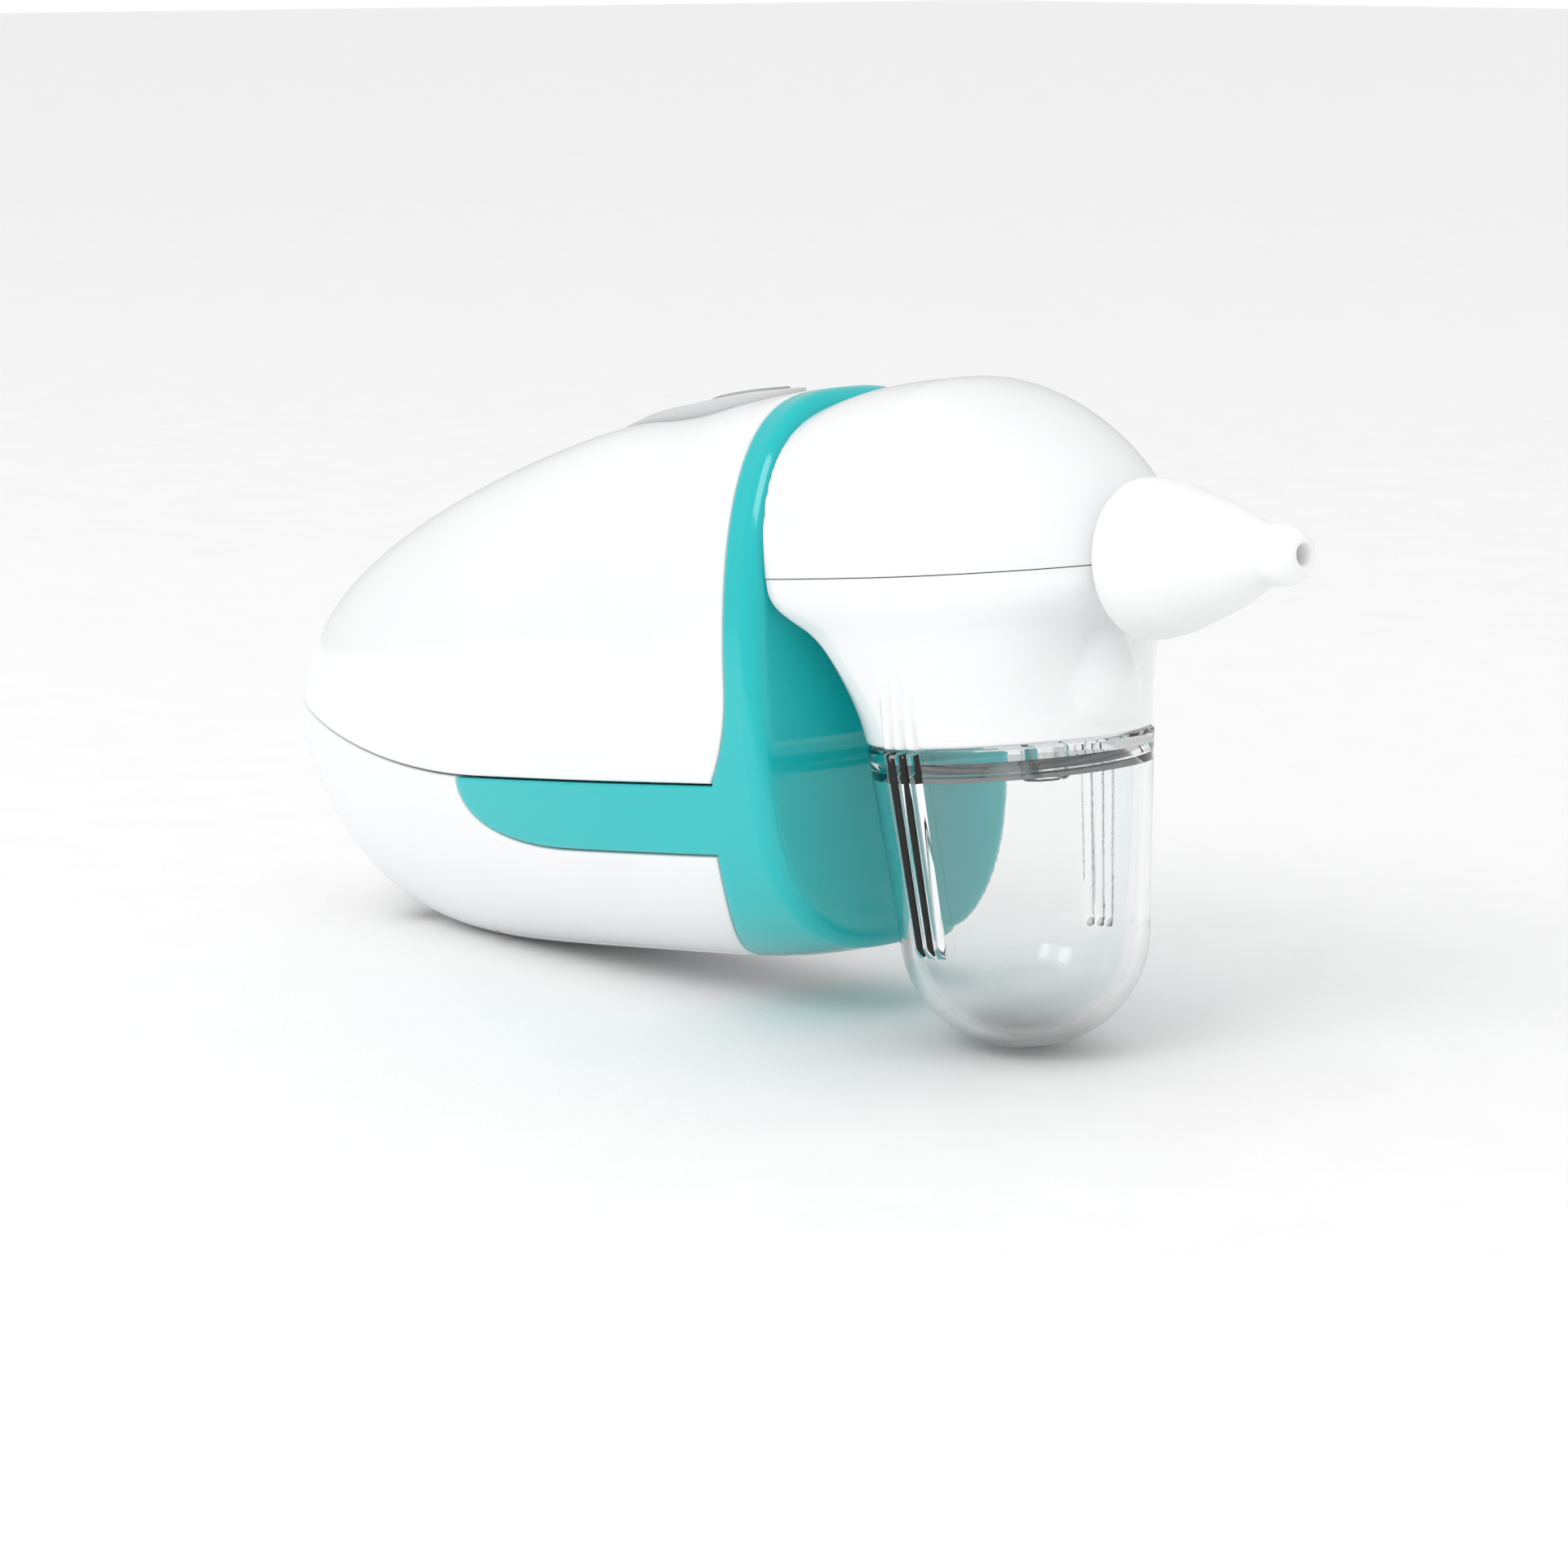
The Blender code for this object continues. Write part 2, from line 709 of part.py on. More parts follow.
def circuit_board():
    low = (-63.6 * MM, -11 * MM, BOARD_Z)
    high = (-30 * MM, 11 * MM, BOARD_Z + BOARD_THICK)
    board = box("circuit_board", low, high, BOARD_GREEN)
    for side, y in both_sides(BOARD_SCREW_Y):
        start = (BOARD_SCREW_X, y, 20 * MM)
        end = (BOARD_SCREW_X, y, 40 * MM)
        combine(board, rod("board_cut_" + side, start, end, 1.2 * MM, sides=12))
    return board


def tact_switch(name, span):
    x = sum(span) / 2
    half = 3 * MM
    base = BOARD_Z + BOARD_THICK + GAP
    body = box(name, (x - half, -half, base), (x + half, half, base + 3 * MM), DARK)
    top = BUTTON_LOW_Z - BUTTON_TRAVEL - GAP
    plunger = rod(name + "_plunger", (x, 0, base + 1 * MM), (x, 0, top), 1.7 * MM, sides=16)
    return combine(body, plunger, "UNION")


def screw(name, start, direction, length, head_radius=2.2 * MM, radius=SCREW_RADIUS):
    """A screw with its head's outer face at start, driven along direction."""
    start, direction = Vector(start), Vector(direction)
    head = rod(name, start, start + direction * 1.4 * MM, head_radius, STEEL, sides=16)
    under = start + direction * 0.5 * MM
    shank = rod(name + "_shank", under, start + direction * length, radius, sides=12)
    combine(head, shank, "UNION")
    half_slot = (3 * MM, 0.3 * MM, 0.3 * MM)
    slot = box(name + "_slot", [-half for half in half_slot], half_slot)
    slot.rotation_euler = Vector((0, 0, 1)).rotation_difference(direction).to_euler()
    slot.location = start
    return combine(head, slot)


# ---------------------------------------------------------------- chassis and power


def chassis():
    """The inner tray: a deck over the cells, end walls, motor saddles and two arms for the head."""
    rear_x = BAY_REAR_X - TRAY_WALL
    wall_top = DECK_TOP_Z - 0.2 * MM
    low = (rear_x, -DECK_HALF_WIDTH, DECK_LOW_Z)
    tray = box("chassis", low, (ARM_X + TRAY_WALL, DECK_HALF_WIDTH, DECK_TOP_Z), SATIN_WHITE)
    low = (rear_x, -9 * MM, -21.5 * MM)
    combine(tray, box("tray_rear", low, (BAY_REAR_X, 9 * MM, wall_top)), "UNION")
    low = (BAY_FRONT_X, -10.4 * MM, -21.5 * MM)
    combine(tray, box("tray_front", low, (BAY_FRONT_X + TRAY_WALL, 10.4 * MM, wall_top)), "UNION")
    for side, y in both_sides(HEAD_SCREW_Y):
        low = (ARM_X + 0.1 * MM, y - 2.6 * MM, DECK_LOW_Z + 0.1 * MM)
        high = (ARM_X + 1.4 * MM, y + 2.6 * MM, PORT_Z + 4 * MM)
        combine(tray, box("arm_" + side, low, high), "UNION")
        start = (ARM_X + 0.7 * MM, y, HEAD_SCREW_Z)
        end = (FRONT_X - WALL - GAP, y, HEAD_SCREW_Z)
        combine(tray, rod("arm_boss_" + side, start, end, 2.8 * MM, sides=16), "UNION")
        start = (-40 * MM, y, HEAD_SCREW_Z)
        end = (-10 * MM, y, HEAD_SCREW_Z)
        combine(tray, rod("arm_hole_" + side, start, end, SCREW_HOLE_RADIUS, sides=12))
    saddle_top = PUMP_Z - 6.4 * MM
    for name, rear, front in (("rear", -87.9 * MM, -86.5 * MM), ("front", -77 * MM, -72.5 * MM)):
        low = (rear, -7 * MM, DECK_LOW_Z + 0.2 * MM)
        combine(tray, box("saddle_" + name, low, (front, 7 * MM, saddle_top)), "UNION")
    start = (-100 * MM, 0, PUMP_Z)
    return combine(tray, rod("saddle_bed", start, (-50 * MM, 0, PUMP_Z), MOTOR_RADIUS + GAP, sides=28))


def battery(name, y, rear, flip):
    """A cell with its raised pole at the front, or at the rear when flipped."""
    length = CELL_LENGTH
    bevel = 0.5 * MM
    pole = 1.9 * MM
    profile = [
        (0, length + CELL_POLE),
        (pole, length + CELL_POLE),
        (pole, length),
        (CELL_RADIUS - bevel, length),
        (CELL_RADIUS, length - bevel),
        (CELL_RADIUS, bevel),
        (CELL_RADIUS - bevel, 0),
        (0, 0),
    ]
    cell = turned(name, profile, CELL_SKIN, steps=28)
    lie_along_x(cell, rear, y, CELL_Z)
    if flip:
        cell.rotation_euler = (0, -math.pi / 2, 0)
        cell.location.x = rear + length + CELL_POLE
    return cell


def contact_spring(name, y, start, end, direction):
    """A cone-shaped coil between a cell's flat end and its contact."""
    turns, steps = 3, 8
    count = turns * steps
    route = []
    for k in range(count + 1):
        part = k / count
        angle = 2 * math.pi * turns * part
        radius = (3.6 - 1.8 * part) * MM
        x = start + (end - start) * part
        side = y + radius * math.cos(angle)
        route.append((x, side, CELL_Z + direction * radius * math.sin(angle)))
    return wire(name, route, 0.35 * MM, STEEL)


def contact_plates():
    rear_x = BAY_REAR_X + GAP
    front_x = BAY_FRONT_X - GAP
    low_z = CELL_Z - CONTACT_HALF
    high_z = CELL_Z + CONTACT_HALF
    reach = CELL_Y + CONTACT_HALF
    low = (rear_x, -reach, low_z)
    box("contact_bridge", low, (rear_x + CONTACT_THICK, reach, high_z), BRASS)
    for name, y in (("contact_positive", CELL_Y), ("contact_negative", -CELL_Y)):
        low = (front_x - CONTACT_THICK, y - CONTACT_HALF, low_z)
        box(name, low, (front_x, y + CONTACT_HALF, high_z), BRASS)


def cells_and_springs():
    """Two cells head to tail, each held against its contact by a spring at its flat end."""
    contact_room = GAP + CONTACT_THICK + 0.5 * MM
    front_x = BAY_FRONT_X - contact_room
    rear_x = BAY_REAR_X + contact_room
    whole = CELL_LENGTH + CELL_POLE
    clearance = 0.75 * MM
    start = GAP + CONTACT_THICK + 0.65 * MM
    battery("battery_left", CELL_Y, front_x - whole, flip=False)
    battery("battery_right", -CELL_Y, rear_x, flip=True)
    end = front_x - whole - clearance
    contact_spring("spring_left", CELL_Y, BAY_REAR_X + start, end, 1)
    end = rear_x + whole + clearance
    contact_spring("spring_right", -CELL_Y, BAY_FRONT_X - start, end, -1)


# ---------------------------------------------------------------- pump line


def motor():
    profile = [
        (0, 25.5 * MM),
        (3 * MM, 25.5 * MM),
        (3 * MM, 24 * MM),
        (MOTOR_RADIUS - 0.8 * MM, 24 * MM),
        (MOTOR_RADIUS, 23.2 * MM),
        (MOTOR_RADIUS, 0.8 * MM),
        (MOTOR_RADIUS - 0.8 * MM, 0),
        (0, 0),
    ]
    return lie_along_x(turned("motor", profile, STEEL, steps=28), -97 * MM, 0, PUMP_Z)


def motor_shaft():
    shaft = rod("motor_shaft", (0, 0, 0), (9.2 * MM, 0, 0), SHAFT_RADIUS, STEEL, sides=12)
    shaft.location = (-71.2 * MM, 0, PUMP_Z)
    return shaft


def eccentric():
    """The cam that drives the diaphragm, carried off-centre by the shaft."""
    x = -65.4 * MM
    half = 1.7 * MM
    centre_z = PUMP_Z - ECCENTRICITY
    cam = rod("eccentric", (x - half, 0, centre_z), (x + half, 0, centre_z), 4.2 * MM, BRASS, sides=20)
    hole_radius = SHAFT_RADIUS + GAP
    hole = rod("eccentric_bore", (-70 * MM, 0, PUMP_Z), (-60 * MM, 0, PUMP_Z), hole_radius, sides=12)
    return combine(cam, hole)


def pump_body():
    """A cup that opens forward, with the shaft's hole in its rear wall."""
    depth = 14 * MM
    inner = PUMP_RADIUS - 1.4 * MM
    profile = [
        (PUMP_RADIUS, depth),
        (PUMP_RADIUS, 0.6 * MM),
        (PUMP_RADIUS - 0.6 * MM, 0),
        (1.5 * MM, 0),
        (1.5 * MM, 1.6 * MM),
        (inner, 1.6 * MM),
        (inner, depth),
    ]
    body = turned("pump_body", profile, DARK, steps=28, closed=True)
    return lie_along_x(body, -70.6 * MM, 0, PUMP_Z)


def diaphragm():
    profile = [
        (0, 1.2 * MM),
        (PUMP_RADIUS - 1.8 * MM, 1.2 * MM),
        (PUMP_RADIUS - 1.8 * MM, 0.2 * MM),
        (6 * MM, 0),
        (3 * MM, -1.2 * MM),
        (0, -1.2 * MM),
    ]
    return lie_along_x(turned("pump_diaphragm", profile, DARK, steps=24), -58.2 * MM, 0, PUMP_Z)


def pump_head():
    profile = [
        (0, 8.8 * MM),
        (1.3 * MM, 8.8 * MM),
        (1.5 * MM, 8 * MM),
        (1.5 * MM, 4.2 * MM),
        (PUMP_RADIUS - 1 * MM, 4.2 * MM),
        (PUMP_RADIUS, 3.2 * MM),
        (PUMP_RADIUS, 0),
        (0, 0),
    ]
    head = lie_along_x(turned("pump_head", profile, LIGHT_GREY, steps=28), -56.3 * MM, 0, PUMP_Z)
    bore = rod("pump_inlet", (-54 * MM, 0, PUMP_Z), (-40 * MM, 0, PUMP_Z), 0.8 * MM, sides=12)
    return combine(head, bore)


def suction_port():
    """A barbed grommet tube that carries the vacuum through the front wall into the head."""
    profile = [
        (1.5 * MM, 12.8 * MM),
        (1.9 * MM, 12 * MM),
        (1.9 * MM, 5.6 * MM),
        (3.8 * MM, 5.6 * MM),
        (3.8 * MM, 4.6 * MM),
        (1.5 * MM, 4.6 * MM),
        (1.5 * MM, 0),
        (0.9 * MM, 0),
        (0.9 * MM, 12.8 * MM),
    ]
    port = turned("suction_port", profile, LIGHT_GREY, steps=20, closed=True)
    return lie_along_x(port, FRONT_X - WALL - GAP - 5.6 * MM, 0, PORT_Z)


def suction_hose():
    port_end = FRONT_X - WALL - GAP - 1.6 * MM
    points = [
        (-51.6 * MM, 0, PUMP_Z),
        (-45.5 * MM, 0, PUMP_Z),
        (-38.5 * MM, 0, PUMP_Z + 3 * MM),
        (-33 * MM, 0, PORT_Z - 1 * MM),
        (-28 * MM, 0, PORT_Z),
        (port_end, 0, PORT_Z),
    ]
    return tube("suction_hose", smooth_route(points, 12), 2.8 * MM, 1.8 * MM, SILICONE)


# ---------------------------------------------------------------- head


def head_plan(angle):
    """A point of the head's plan outline: an ellipse in front that grows squarer to the rear."""
    c, s = math.cos(angle), math.sin(angle)
    reach = HEAD_FRONT if c >= 0 else HEAD_REAR
    power = 2.3 - 0.3 * math.tanh(3 * c)
    x = HEAD_CENTRE_X + reach * curved(c, 2 / power)
    return x, HEAD_HALF_WIDTH * curved(s, 2 / power)


def head_angles(count):
    return [2 * math.pi * k / count for k in range(count)]


def funnel_ring(height, spread, inset, count):
    """A level section of the funnel: a circle at the cup, the head's plan at the top."""
    ring = []
    for angle in head_angles(count):
        c = math.cos(angle)
        round_x = COLLAR_RADIUS * c
        round_y = COLLAR_RADIUS * math.sin(angle)
        plan_x, plan_y = head_plan(angle)
        plan_x = max(plan_x, HEAD_REAR_X)
        # the front stays upright longest, where the duct stands
        share_here = spread ** (1 + 0.05 * (1 + c) + 3.2 * max(c, 0) ** 8)
        x = round_x + (plan_x - round_x) * share_here
        y = round_y + (plan_y - round_y) * share_here
        shrink = 1 - inset / math.hypot(x, y)
        ring.append((x * shrink, y * shrink, height))
    return ring


def funnel(name, inset, low, count, material=None):
    rings = []
    last = None
    for height, spread in FUNNEL:
        z = height * MM
        if last and last[0] < low < z:
            part = (low - last[0]) / (z - last[0])
            rings.append(funnel_ring(low, last[1] + (spread - last[1]) * part, inset, count))
        if z >= low:
            rings.append(funnel_ring(z, spread, inset, count))
        last = (z, spread)
    return loft(name, rings, material)


def duct(name):
    """The duct that swells out of the neck under the tip."""
    rings = []
    for height, front, half_width in DUCT:
        length = DUCT_LENGTH * half_width
        ring = []
        for angle in head_angles(20):
            x = front - length + length * math.cos(angle)
            ring.append((x * MM, half_width * math.sin(angle) * MM, height * MM))
        rings.append(ring)
    return loft(name, rings)


def grip_ribs(obj, name, top, bottom, top_radius, bottom_radius):
    """Three upright ribs on each side, melted into the wall."""
    for side in (1, -1):
        for k in (-1, 0, 1):
            angle = side * (RIB_ANGLE + k * RIB_STEP)
            high = (top_radius * math.cos(angle), top_radius * math.sin(angle), top)
            low = (bottom_radius * math.cos(angle), bottom_radius * math.sin(angle), bottom)
            rib = rod(f"{name}_rib_{side}_{k}", high, low, RIB_RADIUS, sides=6)
            combine(obj, rib, "UNION")
    return obj


def upright(x, low, high):
    """Both ends of an upright line at x in the middle plane."""
    return (x, 0, low), (x, 0, high)


def head_base():
    base = funnel("head_base", 0, 0, 48, GLOSS_WHITE)
    combine(base, duct("duct_outside"), "UNION")
    combine(base, box("base_seat", (SEAT_X, -FAR, -FAR), (FAR, FAR, FAR)))
    combine(base, box("base_rear", (-FAR, -FAR, -FAR), (HEAD_REAR_X, FAR, FAR)))
    socket = rod("cup_socket", *upright(0, -10 * MM, FLOOR_LOW), SOCKET_RADIUS, sides=36)
    combine(base, socket)
    inside = funnel("funnel_inside", WALL, FLOOR_TOP, 28)
    inside.data.transform(Matrix.Translation((0, 0, 0.02 * MM)))
    rear_skin = box("rear_skin", (-FAR, -FAR, -FAR), (HEAD_REAR_X + WALL, FAR, FAR))
    combine(inside, rear_skin)
    combine(base, inside)
    for side, y in both_sides(HEAD_SCREW_Y):
        start = (HEAD_REAR_X + 0.5 * MM, y, HEAD_SCREW_Z)
        end = (-10 * MM, y, HEAD_SCREW_Z)
        combine(base, rod("base_post_" + side, start, end, 2.5 * MM, sides=12), "UNION")
        start = (-40 * MM, y, HEAD_SCREW_Z)
        end = (-11.2 * MM, y, HEAD_SCREW_Z)
        combine(base, rod("base_pilot_" + side, start, end, SCREW_HOLE_RADIUS, sides=12))
    grip_ribs(base, "base", 12.2 * MM, 0.15 * MM, 16.35 * MM, 16.35 * MM)
    combine(base, rod("base_port", (-30 * MM, 0, PORT_Z), (-14 * MM, 0, PORT_Z), 2.2 * MM, sides=16))
    combine(base, nozzle_bore("base_nozzle"))
    inlet = rod("inlet_hole", *upright(INLET_X, 4 * MM, 10 * MM), INLET_RADIUS + GAP, sides=18)
    combine(base, inlet)
    valve = rod("valve_hole", *upright(VALVE_X, 4 * MM, 10 * MM), VALVE_HOLE_RADIUS, sides=16)
    combine(base, valve)
    combine(base, box("base_top", (-FAR, -FAR, PARTING_Z - GAP / 2), (FAR, FAR, FAR)))
    return base


def nozzle_bore(name):
    start = (0, 0, PARTING_Z)
    return rod(name, start, (40 * MM, 0, PARTING_Z), NOZZLE_HOLE_RADIUS, sides=24)


def closing(part, power):
    """What is left of a half-width at a share of the dome's height."""
    return max(1 - part**power, 0) ** (1 / power)


def dome(name, inset, count, levels, material=None):
    """Level sections of the cover, each the head's plan drawn in towards the centre."""
    rings = []
    height = DOME_HEIGHT - inset
    for k in range(levels):
        rise = math.sin(math.pi / 2 * min(k / (levels - 1), 0.985))
        front = closing(rise, DOME_FRONT_POWER)
        rear = closing(rise, DOME_REAR_POWER)
        side = closing(rise, DOME_SIDE_POWER)
        ring = []
        for angle in head_angles(count):
            x, y = head_plan(angle)
            x -= HEAD_CENTRE_X
            shrink = 1 - inset / math.hypot(x, y)
            x *= shrink * (front if x >= 0 else rear)
            ring.append((HEAD_CENTRE_X + x, y * shrink * side, PARTING_Z + height * rise))
        rings.append(ring)
    return loft(name, rings, material)


def head_cover():
    cover = dome("head_cover", 0, 48, 12, GLOSS_WHITE)
    combine(cover, box("cover_seat", (SEAT_X, -FAR, -FAR), (FAR, FAR, FAR)))
    combine(cover, box("cover_rear", (-FAR, -FAR, -FAR), (HEAD_REAR_X, FAR, FAR)))
    inside = dome("dome_inside", WALL, 28, 7)
    combine(inside, box("inside_seat", (SEAT_X - WALL, -FAR, -FAR), (FAR, FAR, FAR)))
    combine(inside, box("inside_rear", (-FAR, -FAR, -FAR), (HEAD_REAR_X + WALL, FAR, FAR)))
    combine(cover, inside)
    combine(cover, nozzle_bore("cover_nozzle"))
    combine(cover, box("cover_low", (-FAR, -FAR, -FAR), (FAR, FAR, PARTING_Z + GAP / 2)))
    return cover


def nozzle_spigot():
    """The rigid tube that the tip is pushed on, with a flange against the head's seat."""
    bore = 2.2 * MM
    outer = 4 * MM
    flange = 7.6 * MM
    profile = [
        (bore, 32.6 * MM),
        (outer - 0.3 * MM, 32.6 * MM),
        (outer, 32 * MM),
        (outer, 23.8 * MM),
        (flange, 23.8 * MM),
        (flange, 23.1 * MM),
        (outer, 23.1 * MM),
        (outer, 1.6 * MM),
        (0, 1.6 * MM),
        (0, 3 * MM),
        (bore, 3 * MM),
    ]
    spigot = turned("nozzle_spigot", profile, GLOSS_WHITE, steps=24, closed=True)
    lie_along_x(spigot, 0, 0, PARTING_Z)
    low = PARTING_Z - 8 * MM
    drop = rod("spigot_drop", *upright(INLET_X, low, PARTING_Z), 1.6 * MM, sides=16)
    return combine(spigot, drop)


def inlet_tube():
    """The drop tube from the spigot down into the cup."""
    top = PARTING_Z - 4.4 * MM
    profile = [
        (INLET_RADIUS, top),
        (INLET_RADIUS, -5.2 * MM),
        (1.7 * MM, -5.2 * MM),
        (1.7 * MM, top),
    ]
    tube_piece = turned("inlet_tube", profile, CLEAR, steps=20, closed=True)
    tube_piece.location = (INLET_X, 0, 0)
    return tube_piece


def check_valve():
    """An umbrella valve in the head's floor that keeps fluid out of the pump."""
    profile = [
        (0, 3.6 * MM),
        (1.9 * MM, 3.6 * MM),
        (1.9 * MM, 2.4 * MM),
        (1 * MM, 2.2 * MM),
        (1 * MM, -0.6 * MM),
        (3.4 * MM, -0.7 * MM),
        (3.4 * MM, -1.2 * MM),
        (0, -1.6 * MM),
    ]
    valve = turned("check_valve", profile, SILICONE, steps=20)
    valve.location = (VALVE_X, 0, FLOOR_LOW)
    return valve


def silicone_tip():
    """The soft tip: a ring that cups the nozzle's flange, a cone and a blunt rounded end."""
    base = 24 * MM
    profile = [
        (1.2 * MM, 46.8 * MM),
        (1.6 * MM, 46.8 * MM),
        (2.4 * MM, 46.4 * MM),
        (3.0 * MM, 45.6 * MM),
        (3.35 * MM, 44.2 * MM),
        (3.4 * MM, 42.4 * MM),
        (3.65 * MM, 41 * MM),
        (4.95 * MM, 38 * MM),
        (6.15 * MM, 35 * MM),
        (7.2 * MM, 32 * MM),
        (8.2 * MM, 29 * MM),
        (8.8 * MM, 26.5 * MM),
        (9.0 * MM, 24.6 * MM),
        (8.9 * MM, 23.7 * MM),
        (8.5 * MM, 23.3 * MM),
        (7.9 * MM, 23.3 * MM),
        (7.9 * MM, 24.1 * MM),
        (4.3 * MM, 24.1 * MM),
        (4.3 * MM, 33.2 * MM),
        (2.6 * MM, 37 * MM),
        (1.2 * MM, 40 * MM),
    ]
    shape = [(radius, x - base) for radius, x in profile]
    tip = turned("silicone_tip", shape, SILICONE, steps=24, closed=True)
    return lie_along_x(tip, base, 0, PARTING_Z)


# ---------------------------------------------------------------- cup


def bowl(radius, waist_z, depth, end_radius, count):
    """A round bottom from its waist down to a flat of the given radius."""
    last = math.acos(end_radius / radius)
    points = []
    for k in range(count):
        turn = last * k / (count - 1)
        points.append((radius * math.cos(turn), waist_z - depth * math.sin(turn)))
    return points


def collection_cup():
    """The cup: a ringed neck that enters the head's socket, a shoulder, a wall and a round bottom."""
    rim = -GAP
    outer = bowl(CUP_WAIST_RADIUS, CUP_WAIST_Z, CUP_BOTTOM_DEPTH, CUP_FOOT_RADIUS, 8)
    inner_waist = CUP_WAIST_RADIUS - CUP_WALL
    inner = bowl(inner_waist, CUP_WAIST_Z, CUP_BOTTOM_DEPTH - CUP_WALL, 2.6 * MM, 6)
    inner_rim = CUP_RIM_RADIUS - CUP_WALL
    profile = [
        (NECK_BORE, NECK_TOP),
        (NECK_RADIUS, NECK_TOP),
        (NECK_RADIUS, GROOVE_TOP),
        (GROOVE_RADIUS, GROOVE_TOP),
        (GROOVE_RADIUS, GROOVE_LOW),
        (NECK_RADIUS, GROOVE_LOW),
        (NECK_RADIUS, rim),
        (CUP_RIM_RADIUS, rim),
        *outer,
        (0, outer[-1][1]),
        (0, inner[-1][1]),
        *reversed(inner),
        (inner_rim, rim - CUP_WALL - (inner_rim - NECK_BORE)),
        (NECK_BORE, rim - CUP_WALL),
    ]
    cup = turned("collection_cup", profile, CLEAR, steps=32, closed=True)
    slope = (CUP_RIM_RADIUS - CUP_WAIST_RADIUS) / -CUP_WAIST_Z
    low = CUP_WAIST_Z - 0.8 * MM
    sink = 0.05 * MM
    low_radius = CUP_RIM_RADIUS + slope * low - sink
    return grip_ribs(cup, "cup", rim - 0.3 * MM, low, CUP_RIM_RADIUS - sink, low_radius)


def cup_seal():
    """The rubber ring in the groove of the cup's neck."""
    ring_radius = NECK_RADIUS - 0.15 * MM
    ring_z = (GROOVE_LOW + GROOVE_TOP) / 2
    half = 0.35 * MM
    points = []
    for k in range(6):
        turn = math.pi / 2 - 2 * math.pi * k / 6
        points.append((ring_radius + half * math.cos(turn), ring_z + half * math.sin(turn)))
    return turned("cup_seal", points, SILICONE, steps=32, closed=True)


# ---------------------------------------------------------------- leads


def mirrored(points):
    return [(x, -y, z) for x, y, z in points]


def leads():
    """Wires from the contacts to the board and from the board to the motor."""
    motor_route = [
        (-97.6 * MM, 4 * MM, PUMP_Z + 3 * MM),
        (-99.5 * MM, 7 * MM, PUMP_Z + 8 * MM),
        (-92 * MM, 10 * MM, 20 * MM),
        (-78 * MM, 10 * MM, 26 * MM),
        (-64.2 * MM, 8 * MM, BOARD_Z + 0.6 * MM),
    ]
    battery_route = [
        (-37.2 * MM, 10.9 * MM, CELL_Z + 3.4 * MM),
        (-37.2 * MM, 12.6 * MM, DECK_LOW_Z + 1 * MM),
        (-37 * MM, 14.4 * MM, 0),
        (-36 * MM, 15 * MM, 9 * MM),
        (-36 * MM, 12.6 * MM, 20 * MM),
        (-36 * MM, 10 * MM, BOARD_Z - 0.8 * MM),
    ]
    for kind, route in (("motor", motor_route), ("battery", battery_route)):
        wire(kind + "_lead_red", smooth_route(route, 12), 0.7 * MM, RED)
        wire(kind + "_lead_black", smooth_route(mirrored(route), 12), 0.7 * MM, DARK)


# ---------------------------------------------------------------- assembly


def rest_on_origin():
    """Moves the whole object so that its bounding box stands on the origin."""
    bpy.context.view_layer.update()
    graph = bpy.context.evaluated_depsgraph_get()
    corners = []
    for obj in PARTS.objects:
        if obj.type == "EMPTY":
            continue
        shape = obj.evaluated_get(graph)
        mesh = shape.to_mesh()
        corners.extend(obj.matrix_world @ vertex.co for vertex in mesh.vertices)
        shape.to_mesh_clear()
    low = [min(corner[i] for corner in corners) for i in range(3)]
    high = [max(corner[i] for corner in corners) for i in range(3)]
    REST.location = (-(low[0] + high[0]) / 2, -(low[1] + high[1]) / 2, -low[2])


def screws():
    for side, y in both_sides(HEAD_SCREW_Y):
        start = (ARM_X - 1.7 * MM, y, HEAD_SCREW_Z)
        screw("head_screw_" + side, start, (1, 0, 0), 20 * MM)
    for side, y in both_sides(REAR_SCREW_Y):
        screw("rear_screw_" + side, (REAR_SCREW_X, y, -13.7 * MM), (0, 0, 1), 14 * MM)
    for side, y in both_sides(BOARD_SCREW_Y):
        start = (BOARD_SCREW_X, y, BOARD_Z - 1.7 * MM)
        screw("board_screw_" + side, start, (0, 0, 1), 6.8 * MM, 1.8 * MM, 0.9 * MM)


def build():
    skin = pod_skin()
    pod_outside("post_limit", 0.7 * MM)
    upper_shell(skin)
    lower_shell(skin)
    battery_door(skin)
    front_frame(skin)
    button_bezel()
    button("power_button", POWER_SPAN, GREY)
    button("level_button", LEVEL_SPAN, LIGHT_GREY)
    circuit_board()
    tact_switch("power_switch", POWER_SPAN)
    tact_switch("level_switch", LEVEL_SPAN)
    chassis()
    cells_and_springs()
    contact_plates()
    motor()
    motor_shaft()
    eccentric()
    pump_body()
    diaphragm()
    pump_head()
    suction_port()
    suction_hose()
    head_cover()
    head_base()
    nozzle_spigot()
    inlet_tube()
    check_valve()
    silicone_tip()
    collection_cup()
    cup_seal()
    screws()
    leads()
    rest_on_origin()


build()
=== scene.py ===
"""The looks of a battery nasal aspirator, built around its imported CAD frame.

Every piece is shaped in the design frame: +X along the tip, +Y to the left and +Z up the cup's axis,
with the origin at the centre of the joint between head and cup. PLACE takes that to the row frame.
"""

import json
import math

import bmesh
import bpy
from mathutils import Matrix, Vector


